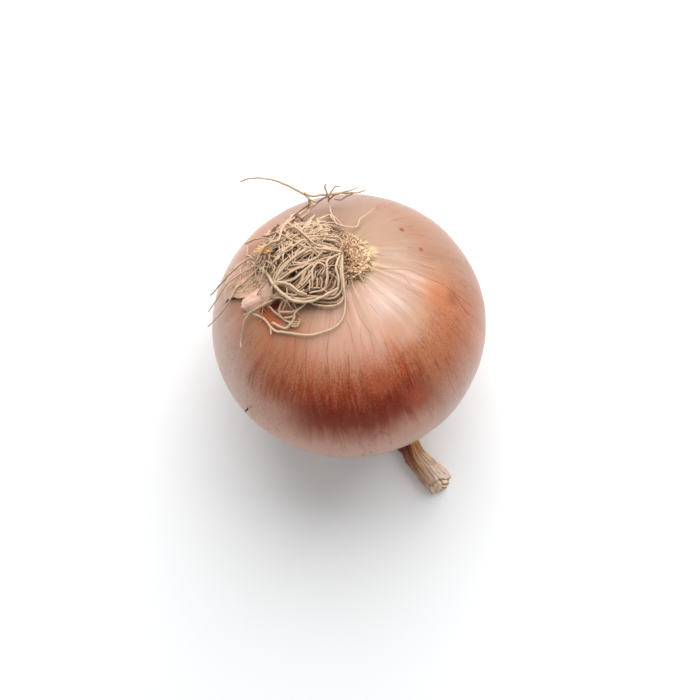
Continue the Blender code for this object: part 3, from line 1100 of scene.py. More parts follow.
# Routes over the mat: width, then places (east, north) in mm; their height follows the mat's.
MAT_ROOTS: tuple[tuple[float, Places], ...] = (
    (0.85, ((1.5, -2), (0.5, -6), (0, -10), (-2.5, -12), (-6, -11.5), (-10, -11))),
    (0.8, ((1, -2), (-0.5, -5), (-0.5, -8.5), (-2, -11), (-4.5, -11.5))),
    (0.95, ((1, -1.5), (-2, -3), (-2.5, -5), (-3, -8), (-4.5, -10), (-8, -10))),
    (0.8, ((-6.5, -7.5), (-6, -5), (-4.5, -3.5), (-3, -4.5), (-4, -6.5))),
    (0.85, ((-1, -2.5), (-4.5, -3), (-8, -5), (-10.5, -8.5))),
    (0.8, ((-2.5, -3.5), (-5, -3), (-7.5, -4.5), (-9.5, -8))),
    (0.85, ((1.5, -1), (-2.5, 0), (-5.5, 1), (-8.5, 2.5))),
    (0.85, ((0.5, 0), (-3.5, 1.5), (-6, 3), (-8.5, 5.5))),
    (0.8, ((0, 0.5), (-4, 3), (-8, 4), (-12.5, 5))),
    (0.85, ((-2, -0.5), (-6, 1.5), (-9.5, 0.5), (-13, -1), (-15.5, -3.5), (-16, -5))),
    (0.85, ((-3.5, -0.5), (-6.5, 0.5), (-10, -1), (-12.5, -2.5))),
    (0.8, ((-4.5, -2), (-7, -2.5), (-9, -2), (-11, -1))),
    (0.75, ((-5.5, -3), (-8.5, -2.5), (-11, -2))),
    (0.8, ((-6.5, -3), (-9.5, -3), (-11.5, -3), (-12, -1.5))),
    (0.85, ((-6.5, -3), (-10, -3.5), (-13.5, -4.5), (-15, -4.5))),
    (0.85, ((-6, -3.5), (-8, -4.5), (-11, -6), (-14.5, -5))),
    (0.9, ((-16, -5), (-13, -6.5), (-11, -9), (-9, -10.5), (-5, -11.5))),
    (0.8, ((-5.5, -4), (-7.5, -6), (-11, -8))),
    (0.75, ((-6.5, -6), (-8.5, -7.5), (-10.5, -8.5))),
    (0.85, ((0.5, -11.5), (-1, -13.5), (-3.5, -14), (-7, -13), (-10, -11), (-13, -10.5))),
    (0.95, ((-10, 11.5), (-7, 5.5), (-6, 2.5), (-3.5, -1.5))),
    (0.8, ((-12.5, 11.5), (-11, 13), (-8, 15.5))),
    (0.75, ((-4.5, 12), (-4.5, 9.5), (-6.5, 6.5))),
    (0.8, ((-3, 11.5), (-2.5, 8), (-2.5, 4))),
    (0.7, ((-1.5, 8), (0.5, 8.5), (2.5, 8))),
    (0.6, ((-2, 4.5), (0.5, 4.5), (2, 2.5), (1, -0.5))),
    (0.95, ((-13, 5.5), (-8.5, 3), (-5, 0.5), (1, -1))),
    (0.8, ((-8.5, 5.5), (-7.5, 3), (-5, 0), (-4, -2))),
    (0.75, ((-2, 4), (-0.5, 3.5), (1.5, 4))),
    (0.75, ((-1.5, 2.5), (1.5, 1.5))),
    (0.8, ((-10.5, 8), (-8, 5.5), (-6, 3.5))),
    (0.8, ((-11, 12), (-10.5, 8), (-10, 6))),
    (0.8, ((-7, 7), (-6.5, 4.5), (-4.5, -0.5))),
    (0.65, ((-9.5, 14), (-12.5, 10), (-16, 6.5), (-19, 3))),
    (0.5, ((-14.5, 11.5), (-15.5, 9.5), (-15, 8), (-13.5, 8.5))),
    (0.8, ((-17, 8), (-12.5, 6), (-7.5, 3.5), (-1, 0))),
    (0.9, ((-17, -5.5), (-18, -7.5))),
    (0.8, ((-20.5, -8.5), (-17.5, -8), (-15.5, -8.5), (-14, -10.5))),
    (0.75, ((-16.5, -11.5), (-14, -10), (-12.5, -9.5))),
    (0.6, ((-17, 2.5), (-15.5, 0.5), (-15, -1), (-16, -2))),
    *((0.6, ((east, 5.5), (east, 4), (east, 2.5))) for east in (-13, -12, -11, -10)),
    (0.8, ((-12.5, 13), (-10.5, 9.5), (-10, 7.5), (-8, 5.5))),
    (0.8, ((-14, 9.5), (-10, 8.5), (-6, 7), (-2, 6.5))),
    (0.75, ((-9, 10.5), (-6, 9.5), (-3, 8.5), (0, 7))),
    (0.6, ((-1.5, 8), (-0.5, 6.5), (1.5, 6))),
    (0.8, ((-8.5, 12.5), (-7.5, 10), (-6.5, 8), (-3.5, 7))),
    (0.75, ((-11, 12.5), (-9, 11), (-7, 8.5), (-6, 6))),
    (0.85, ((-13, 7), (-10, 6.5), (-6, 5.5), (-1, 4.5))),
    (0.75, ((-11.5, 10), (-10, 10), (-8.5, 8), (-8.5, 7))),
    (0.8, ((-0.5, 4), (-4, 4), (-7.5, 5))),
    (0.8, ((0.5, 2.5), (-3.5, 3.5), (-6.5, 5.5), (-8, 7))),
    *((0.7, ((east, -7), (east, -8), (east - 0.5, -9.5))) for east in (-7.5, -6.5, -5.5, -4.5)),
    (0.8, ((1, -3), (0.5, -5.5), (1, -7.5), (0, -11.5))),
)

# Loose roots clear of the mat: width, then places (east, north, height) in mm.
LOOSE_ROOTS: tuple[tuple[float, Route], ...] = (
    (0.95, ((-21.5, 7, 1.5), (-19.5, 3, 2), (-17.5, -1.5, 3), (-16, -5, 4.5), (-13, -10, 4), (-9.5, -12, 4),
            (-6, -12, 4), (-1, -10.5, 3.5))),
    (0.6, ((-25, 12.5, 1), (-21.5, 8.5, 1.5), (-19, 6, 2.5), (-17, 3, 3), (-15.5, -2, 3.5))),
    (0.8, ((-7, 0.5, 5.5), (-10.5, -1, 5.5), (-15, -3.5, 4.5), (-16, -5, 4))),
    (0.75, ((-15.5, -4.5, 4.5), (-12, -7, 5), (-10.5, -9, 4.5), (-8.5, -10.5, 4.5))),
    (0.9, ((-16.5, -4.5, 4), (-17.5, -5.5, 3.5), (-18.5, -7, 3))),
    (0.7, ((-9, -9, 4), (-11.5, -9.5, 4), (-14, -8, 3.5), (-17, -7, 3), (-22.5, -8, 2.5), (-28, -7.5, 2))),
    (0.6, ((-21, -7, 2), (-20, -8.5, 1.5), (-17.5, -12.5, 1), (-15, -15.5, 1), (-13, -16, 1))),
    (0.75, ((-20.5, -13, 1), (-18, -15.5, 1), (-16.5, -16, 1), (-14, -14.5, 1.5), (-13, -13, 2),
            (-9.5, -12, 3))),
    (0.7, ((-17, -11.5, 2), (-14, -12.5, 2), (-11, -12.5, 2.5))),
    (0.6, ((-16.5, -13, 1.5), (-15, -13.5, 1.5), (-13.5, -13.5, 1.5), (-13, -13, 2))),
    (0.55, ((-15, -16, 1), (-13.5, -16.5, 1), (-12.5, -15.5, 1), (-12.5, -15, 1.5))),
    (0.6, ((-21.5, -14, 1), (-21.5, -15, 1), (-22, -16, 1))),
    (0.45, ((-20.5, 1.5, 1), (-22, 4, 1.5), (-24.5, 2.5, 1), (-29.5, 0, 1))),
    (0.5, ((-22.5, 7.5, 1.5), (-21, 4.5, 2), (-19, 4.5, 2), (-19.5, 7, 2), (-21, 8.5, 1.5))),
    (0.45, ((-22.5, 4.5, 1.5), (-19.5, 5.5, 2.5), (-18, 4.5, 2), (-19, 3, 2))),
    (0.5, ((-23, 6.5, 1.5), (-20.5, 4, 2), (-20, 2, 2))),
    (0.6, ((1, 18.5, 5), (0.5, 19, 7.5), (1, 19, 8.5))),
    (0.6, ((2.5, 21, 2.5), (4, 20, 2.5), (5, 20, 3), (7.5, 19.5, 4.5))),
    (0.5, ((-3, 12.5, 2), (-1, 14, 1.5), (0.5, 15, 1), (1.5, 13.5, 1), (1.5, 11.5, 1.5))),
    (0.7, ((-8, 16.5, 2.5), (-10, 15, 3), (-13, 10.5, 4), (-15, 9.5, 3.5))),
    (0.6, ((-4.5, 19.5, 6), (-3, 17.5, 5), (-2, 18, 4))),
    (0.5, ((-3, 13.5, 2), (-0.5, 14.5, 1.5), (0.5, 15, 1.5), (1, 13, 1.5), (1.5, 11.5, 1.5), (2.5, 8, 2))),
    (0.6, ((-3, 13.5, 2), (-3, 11, 3), (-2.5, 8.5, 4), (-2.5, 5, 5))),
    (0.85, ((-3.5, 15, 2), (-5, 10.5, 4), (-6.5, 7.5, 5), (-7.5, 5.5, 5.5))),
    (0.8, ((-19.5, 4, 4.5), (-17, 5, 6), (-14.5, 5.5, 6.5), (-12.5, 6.5, 5.5), (-11.5, 10, 5), (-10, 13, 4),
           (-6, 18, 2.5), (-3, 20, 2.5))),
    (0.85, ((-11, 9.5, 5), (-9.5, 9, 5.5), (-7.5, 7, 6), (-4, 1, 6))),
    (0.55, ((-25.5, 19, 1.5), (-22, 17, 1.5), (-18.5, 13.5, 2.5), (-13.5, 7.5, 4.5))),
    (0.5, ((-24.5, 11.5, 1.5), (-24.5, 18.5, 1))),
    (0.55, ((-1, 9.5, 3), (0, 10, 2.5), (1.5, 9.5, 2.5), (2.5, 8, 2.5))),
    (0.6, ((-19, 15.5, 2), (-16, 12.5, 3), (-12.5, 9, 5), (-7, 1.5, 6))),
)


def stations_for(points: Sequence[Vector], pace: float) -> int:
    """Number of stations that sets one each pace, in millimetres, along a route of points."""
    length = sum((after - before).length for before, after in zip(points, points[1:]))
    return max(9, round(length / (pace * MM)))


@dataclass(frozen=True)
class RootTuft:
    """The matted tuft of dry roots: locks, single roots on them, felt, hairs and wisps.

    Its places and reaches are pairs, east and north, and its top and least are heights over the skin,
    all in millimetres. The hairs' kinks take their seeds from a run of numbers of their own.
    """

    form: BulbForm
    locks: tuple[Lock, ...] = (COMB, SWIRL, CROWN, CROSS)
    seed: int = 11
    felt: int = 135
    hairs: int = 70
    wisps: int = 16
    hair_seeds: int = 200
    slim: float = 0.84
    mat_pace: float = 0.36
    loose_pace: float = 0.4
    flake: tuple[float, float] = (-18.4, 6.9)
    flake_reach: tuple[float, float] = (3.8, 2.8)
    middle: tuple[float, float] = (-9.5, 0.8)
    reach: tuple[float, float] = (13.0, 14.6)
    shade_pad_reach: tuple[float, float] = (11.2, 12.2)
    felt_middle: tuple[float, float] = (-6.0, 6.6)
    felt_reach: tuple[float, float] = (8.2, 4.4)
    shade_pad_cells: int = 60
    shade_pad_wall: float = 0.3
    top: float = 4.7
    least: float = 0.7

    def mat_height(self, east: float, north: float) -> float:
        """Height of the mat over the skin, in millimetres."""
        across = (east - self.middle[0]) / self.reach[0]
        along = (north - self.middle[1]) / self.reach[1]
        return max(1.4, self.top * sqrt(max(0.0, 1 - (across * across + along * along) ** 2)))

    def over_flake(self, east: float, north: float) -> bool:
        """Whether a place lies over the amber flake, which stays clear."""
        across = (east - self.flake[0]) / self.flake_reach[0]
        return hypot(across, (north - self.flake[1]) / self.flake_reach[1]) < 1

    def lock_strand(self, lock: Lock, number: int, chance: random.Random) -> tuple[Strand, float]:
        """One strand of a lock, blended between two neighbouring routes.

        Args:
            lock: The lock.
            number: The strand's number, which seeds its kinks.
            chance: Random source.

        Returns:
            The strand, and how deep it lies, from 0, at the top, to 1.
        """
        place = chance.random() * (len(lock.routes) - 1)
        index = min(int(place), len(lock.routes) - 2)
        share = place - index
        cut = chance.uniform(*lock.length)
        aside = (chance.gauss(0, lock.spread), chance.gauss(0, lock.spread))
        drop = chance.random()
        points = []
        count = len(lock.routes[0])
        for step, (a, b) in enumerate(zip(lock.routes[index], lock.routes[index + 1])):
            loose = step / (count - 1)
            east = a[0] + (b[0] - a[0]) * share + aside[0] * loose
            north = a[1] + (b[1] - a[1]) * share + aside[1] * loose
            height = (self.mat_height(east, north) - 1.1) * (1 - drop * lock.lift)
            points.append(self.form.over_skin((east, north, max(height, self.least))))
        points = [between(points, cut * step / 7) for step in range(8)]
        strand = Strand(
            self.form, points, chance.uniform(*lock.width), number, wander=lock.wander, kink=0.2,
            tip=chance.uniform(0.45, 0.85), free_start=False
        )
        return strand, drop

    def mat_strand(self, width: float, places: Places, lift: float, aside: Vector, number: int) -> Strand:
        """A strand on the mat.

        Args:
            width: Thickness, in millimetres.
            places: Places (east, north) in millimetres.
            lift: Height over the mat, in millimetres.
            aside: Sideways shift, in millimetres.
            number: Number that seeds the kinks.

        Returns:
            The strand.
        """
        points = []
        for east, north in places:
            east, north = east + aside.x, north + aside.y
            height = max(self.mat_height(east, north) + lift, self.least)
            points.append(self.form.over_skin((east, north, height)))
        return Strand(
            self.form, points, width, number, stations_for(points, self.mat_pace), wander=0.3, kink=0.17,
            tip=0.7
        )

    def build(self) -> None:
        """Grow the locks and the roots on them, then the core, the felt, the hairs and the wisps."""
        chance = random.Random(self.seed)
        fibre = DryFibre("dry_root_fibre").material()
        pile = Pile()
        number = self.add_roots(pile, chance)
        add_piece("root_tuft_strands", pile.mesh, fibre, "dry_root", "root_tuft")
        pile = Pile()
        # Dark core under the strands, as painted shade in the gaps.
        self.add_shade_pad(pile)
        self.add_felt(pile, chance, number)
        self.add_hairs(pile, chance, number + self.felt)
        self.add_wisps(pile, chance, number + self.felt + self.hair_seeds)
        add_piece("root_tuft_felt", pile.mesh, fibre, "dry_root")

    def add_roots(self, pile: Pile, chance: random.Random) -> int:
        """Locks, then the roots on the mat, longer ones with a second one under them, then loose roots.

        Args:
            pile: Pile that takes them.
            chance: Random source.

        Returns:
            The last strand's number.
        """
        number = 0
        for lock in self.locks:
            for _ in range(lock.count):
                number += 1
                strand, deep = self.lock_strand(lock, number, chance)
                # Deeper strands get darker tones: painted shade inside the tuft.
                pile.add(strand.build(), chance.uniform(0.25, 0.5) * (1.2 - deep))
        for width, places in MAT_ROOTS:
            ends_apart = hypot(places[0][0] - places[-1][0], places[0][1] - places[-1][1])
            low = min(place[1] for place in places) < -6
            for under in (0, 1) if ends_apart > 4 else (0,):
                number += 1
                aside = Vector((chance.gauss(0, 0.9), chance.gauss(0, 0.9))) * under
                if low:
                    aside.y = abs(aside.y)
                lift = chance.uniform(-0.2, 0.5) - 0.9 * under
                strand = self.mat_strand(width * self.slim, places, lift, aside, number)
                # The strand under another gets a darker tone: painted shade.
                pile.add(strand.build(), chance.uniform(0.5, 0.85) - 0.25 * under)
        for width, route in LOOSE_ROOTS:
            number += 1
            points = [self.form.over_skin(spot) for spot in route]
            strand = Strand(
                self.form, points, width, number, stations_for(points, self.loose_pace), wander=0.25,
                kink=0.15, tip=0.7
            )
            pile.add(strand.build(), chance.uniform(0.6, 0.9))
        return number

    def add_shade_pad(self, pile: Pile) -> None:
        """Dark matted core low under the strands, which hides the bare skin and darkens the gaps as painted
        shade.
        """
        mesh = bmesh.new()
        bmesh.ops.create_grid(mesh, x_segments=self.shade_pad_cells, y_segments=self.shade_pad_cells, size=1)
        for vert in mesh.verts:
            wide, high = vert.co.x * sqrt(1 - vert.co.y**2 / 2), vert.co.y * sqrt(1 - vert.co.x**2 / 2)
            east = self.middle[0] + wide * self.shade_pad_reach[0]
            north = self.middle[1] + 0.2 + high * self.shade_pad_reach[1]
            rough = 1 + 0.5 * noise.noise(Vector((east, north, 0)) * 0.9)
            height = 0.45 * self.mat_height(east, north) * rough * ease(1.0, 0.75, hypot(wide, high))
            vert.co = self.form.over_skin((east, north, height + 0.1))
        thicken(mesh, self.shade_pad_wall)
        # Its dark tone is painted shade between the strands.
        pile.add(mesh, 0.3)

    def add_felt(self, pile: Pile, chance: random.Random, number: int) -> None:
        """Short crooked roots that felt the upper part of the tuft.

        Args:
            pile: Pile that takes them.
            chance: Random source.
            number: Number of the first strand.
        """
        for seed in range(number, number + self.felt):
            turn = chance.uniform(0, 2 * pi)
            away = sqrt(chance.random())
            east = self.felt_middle[0] + self.felt_reach[0] * away * cos(turn)
            north = self.felt_middle[1] + self.felt_reach[1] * away * sin(turn)
            heading = radians(170) + chance.gauss(0, 1.15)
            pace = chance.uniform(0.9, 2.0)
            depth = chance.random()
            points = []
            for _ in range(6):
                height = self.mat_height(east, north) + 0.5 - 1.9 * depth + chance.uniform(-0.3, 0.3)
                points.append(self.form.over_skin((east, north, max(height, 0.6))))
                east += pace * cos(heading)
                north = min(north + pace * sin(heading), 9.2 - 0.35 * east)
                heading += chance.uniform(-0.6, 0.6)
            strand = Strand(
                self.form, points, chance.uniform(0.4, 0.84), seed, sides=6, wander=0.7, kink=0.3, tip=0.4
            )
            # Deeper felt strands get darker tones: painted shade.
            tone = chance.uniform(0.65, 1.0) - 0.55 * depth
            if not self.over_flake(east, north):
                pile.add(strand.build(), tone)

    def add_hairs(self, pile: Pile, chance: random.Random, number: int) -> None:
        """Fine side roots, crooked and thin, over the whole tuft.

        Args:
            pile: Pile that takes the hairs.
            chance: Random source.
            number: Number of the first strand.
        """
        for seed in range(number, number + self.hairs):
            east = chance.uniform(-22, 0)
            north = chance.uniform(-9, 15)
            turn = chance.uniform(0, 2 * pi)
            points = []
            for _ in range(5):
                height = self.mat_height(east, north) + chance.uniform(-0.5, 0.5)
                points.append(self.form.over_skin((east, north, height)))
                east += 1.6 * cos(turn)
                north += 1.6 * sin(turn)
                turn += chance.uniform(-0.7, 0.7)
            strand = Strand(self.form, points, chance.uniform(0.26, 0.45), seed, 16, 5, kink=0.2)
            if not self.over_flake(east, north):
                pile.add(strand.build(), chance.uniform(0.5, 0.9))

    def add_wisps(self, pile: Pile, chance: random.Random, number: int) -> None:
        """Thin root ends that fray over the torn skin at the far left.

        Args:
            pile: Pile that takes the wisps.
            chance: Random source.
            number: Number of the first strand.
        """
        for seed in range(number, number + self.wisps):
            east, north = chance.uniform(-30, -21), chance.uniform(-1, 12)
            heading = radians(205) + chance.gauss(0, 0.5)
            pace = chance.uniform(0.5, 1.3)
            points = []
            for step in range(5):
                ahead = (east + pace * step * cos(heading), north + pace * step * sin(heading))
                points.append(self.form.over_skin((*ahead, chance.uniform(0.9, 1.7))))
            width = chance.uniform(0.18, 0.34)
            strand = Strand(self.form, points, width, seed, 14, 5, wander=0.4, kink=0.15)
            pile.add(strand.build(), chance.uniform(0.6, 0.95))


@dataclass(frozen=True)
class LongRoots:
    """The loose long roots that leave the tuft, each a piece of its own.

    The stations are counted for each point of a root's route.
    """

    form: BulbForm
    first_seed: int = 500
    tones: tuple[float, ...] = (0.6, 0.85, 0.75)
    stations: int = 7
    sides: int = 9

    def build(self) -> None:
        """Sweep each long root along its route."""
        fibre = DryFibre("dry_long_root").material()
        for number, (name, (width, route)) in enumerate(LONG_ROOTS.items()):
            points = [self.form.over_skin(spot) for spot in route]
            strand = Strand(
                self.form, points, width, self.first_seed + number, self.stations * len(route),
                self.sides, wander=0.2, kink=0.13, tip=0.6
            )
            pile = Pile()
            pile.add(strand.build(), self.tones[number % len(self.tones)])
            add_piece(f"{name}_strand", pile.mesh, fibre, "dry_root", name)


@dataclass(frozen=True)
class RootPlate:
    """The corky root plate, with its crown of broken root stubs and fine fringe.

    Its place and radius are in millimetres over the skin, and its outline holds distances from its
    middle with their heights.
    """

    form: BulbForm
    place: tuple[float, float] = (1.2, -1.0)
    radius: float = 6.7
    outline: Places = (
        (0, 1.0), (2.2, 1.3), (4.0, 1.6), (5.4, 1.4), (6.4, 0.7), (7.0, 0.1), (6.0, -0.4), (0, -0.4)
    )
    rounds: int = 72
    cuts: int = 4
    weld: float = 0.01
    stubs: int = 760
    fringe: int = 240
    seed: int = 5

    def at(self, turn: float, away: float, height: float) -> Vector:
        """Point over the plate by bearing, distance from its middle and height, in millimetres."""
        east = self.place[0] + away * cos(turn)
        north = self.place[1] + away * sin(turn)
        return self.form.over_skin((east, north, height))

    def build(self) -> None:
        """Build the plate, then the stubs and the fringe on it."""
        mesh = bmesh.new()
        outline = [(distance, 0, height) for distance, height in self.outline]
        spin(mesh, outline, self.rounds, self.cuts, self.weld)
        for vert in mesh.verts:
            rough = noise.noise(vert.co * 0.9) * 0.35 + noise.noise(vert.co * 2.7) * 0.2
            turn = atan2(vert.co.y, vert.co.x)
            vert.co = self.at(turn, hypot(vert.co.x, vert.co.y), vert.co.z + rough)
        cork = DryFibre("corky_root_plate", "#c9a57a", "#9a7554", "#5a3823", grain=0.7, roughness=0.9)
        pile = Pile()
        pile.add(mesh, 0.42)
        add_piece("root_plate_cork", pile.mesh, cork.material(), "root_plate", "root_plate")
        chance = random.Random(self.seed)
        pile = Pile()
        self.add_stubs(pile, chance)
        self.add_fringe(pile, chance)
        stub_fibre = DryFibre("broken_root_stub", "#e0c4a0", "#bb9778", "#5a3a2a")
        add_piece("root_plate_stubs", pile.mesh, stub_fibre.material(), "root_plate")

    def add_stubs(self, pile: Pile, chance: random.Random) -> None:
        """Short broken roots over the plate, leaning out, paler to the right and darker to the left, partly
        as painted shade in the crevices.

        Args:
            pile: Pile that takes them.
            chance: Random source.
        """
        for number in range(self.stubs):
            turn = chance.uniform(0, 2 * pi)
            away = sqrt(chance.uniform(0.0, 1.0)) * self.radius
            length = chance.uniform(0.7, 1.9)
            lean = chance.uniform(0.2, 0.9) * away / self.radius
            swing = chance.uniform(-0.12, 0.12)
            points = []
            for step in range(3):
                rise = 0.9 + length * (1 - lean * 0.7) * step / 2
                out = away + length * lean * step / 2 + chance.uniform(-0.15, 0.15)
                points.append(self.at(turn + swing * step, out, rise))
            strand = Strand(
                self.form, points, chance.uniform(0.3, 0.66), number, 5, 5, wander=0.15, kink=0.25, tip=0.8
            )
            # Stubs to the left are darker: partly painted shade in the crevices between them.
            right = ease(0.2, 4.2, away * cos(turn) + chance.uniform(-1.4, 1.4))
            pile.add(strand.build(), chance.uniform(0.05, 0.5) + 0.42 * right)

    def add_fringe(self, pile: Pile, chance: random.Random) -> None:
        """Fine roots that hang from the plate's rim down to the skin.

        Args:
            pile: Pile that takes them.
            chance: Random source.
        """
        for number in range(self.fringe):
            turn = chance.uniform(0, 2 * pi)
            away = chance.uniform(5.6, 6.8)
            length = chance.uniform(0.8, 3.0)
            bend = chance.uniform(-0.2, 0.2)
            points = [
                self.at(turn + bend * step / 3, away + length * step / 3, 1.2 - 0.95 * ease(0, 3, step))
                for step in range(4)
            ]
            strand = Strand(
                self.form, points, chance.uniform(0.16, 0.34), number, 8, 5, wander=0.25, kink=0.1, tip=0.3
            )
            pile.add(strand.build(), chance.uniform(0.5, 1.0))


# --------------------------------------------------------------------------------------------------
# The neck
# --------------------------------------------------------------------------------------------------


@dataclass(frozen=True)
class NeckSkin:
    """Dried neck: creased leaf bases, dark red-brown at the bulb, papery grey-pink at the cut end.

    Its map counts millimetres: U round the neck, V along it from inside the bulb. Each side's bands
    are shares of the neck's length with their colours.
    """

    girth: float
    length: float
    brown_side: Bands = (
        (0.0, "#7a3a22"), (0.50, "#6e1c0b"), (0.60, "#842c15"), (0.67, "#96492a"), (0.76, "#ac744c"),
        (0.88, "#bc9272"), (1.0, "#c8a78c"),
    )
    pale_side: Bands = (
        (0.0, "#7a3a22"), (0.50, "#8a4a20"), (0.58, "#aa7136"), (0.66, "#b4844c"), (0.73, "#c09a78"),
        (0.84, "#ceb19a"), (1.0, "#dcc7b4"),
    )

    def material(self) -> bpy.types.Material:
        """Build the neck's material: two sides, with dark lines that fade towards the cut end."""
        material, tree, shader = new_material("dried_neck_skin", 0.5)
        shader.inputs["Sheen Weight"].default_value = 0.1
        place = add_node(tree, "UVMap", uv_map="sheet")
        stretched = add_node(tree, "Mapping", {"Vector": place, "Scale": (1.0, 0.08, 1.0)})
        streaks, grain = (
            add_node(tree, "TexNoise", {"Vector": stretched, "Scale": scale, "Detail": 4.0, "Roughness": 0.6})
            for scale in (0.9, 3.2)
        )
        height = add_node(tree, "SeparateXYZ", {0: place}, 1)
        along = add_node(tree, "Math", {0: height, 1: self.length}, operation="DIVIDE")
        pushed = add_node(tree, "Math", {0: streaks, 1: 0.30, 2: -0.15}, operation="MULTIPLY_ADD")
        where = add_node(tree, "Math", {0: along, 1: pushed})
        brown, pale = (
            add_node(tree, "ValToRGB", {0: where}, stops=bands) for bands in (self.brown_side, self.pale_side)
        )
        colour = lay(tree, brown, pale, self.pale_share(tree, place, streaks))
        reach = add_node(
            tree, "MapRange", {0: along, 1: 0.60, 2: 0.80, 3: 0.85, 4: 0.45}, interpolation_type="SMOOTHSTEP"
        )
        colour = lay(tree, colour, "#5e301b", within(tree, reach, (grain, 0.50, 0.64)))
        both = add_node(tree, "Math", {0: grain, 1: 0.35, 2: streaks}, operation="MULTIPLY_ADD")
        dress(shader, colour, both, 0.8, 0.3)
        return material

    def pale_share(self, tree: Tree, place: Socket, streaks: Socket) -> Socket:
        """Share of the pale side's colours, highest half a turn from the map's start.

        Args:
            tree: The material's tree.
            place: Coordinates of the map.
            streaks: Fine streaks, which make the sides' border uneven.

        Returns:
            The share.
        """
        around = add_node(tree, "SeparateXYZ", {0: place}, 0)
        turn = add_node(tree, "Math", {0: around, 1: 2 * pi / self.girth}, operation="MULTIPLY")
        wave = add_node(tree, "Math", {0: turn}, operation="COSINE")
        uneven = add_node(tree, "Math", {0: streaks, 1: 1.4, 2: wave}, operation="MULTIPLY_ADD")
        return within(tree, 1.0, (uneven, 0.95, 0.35))


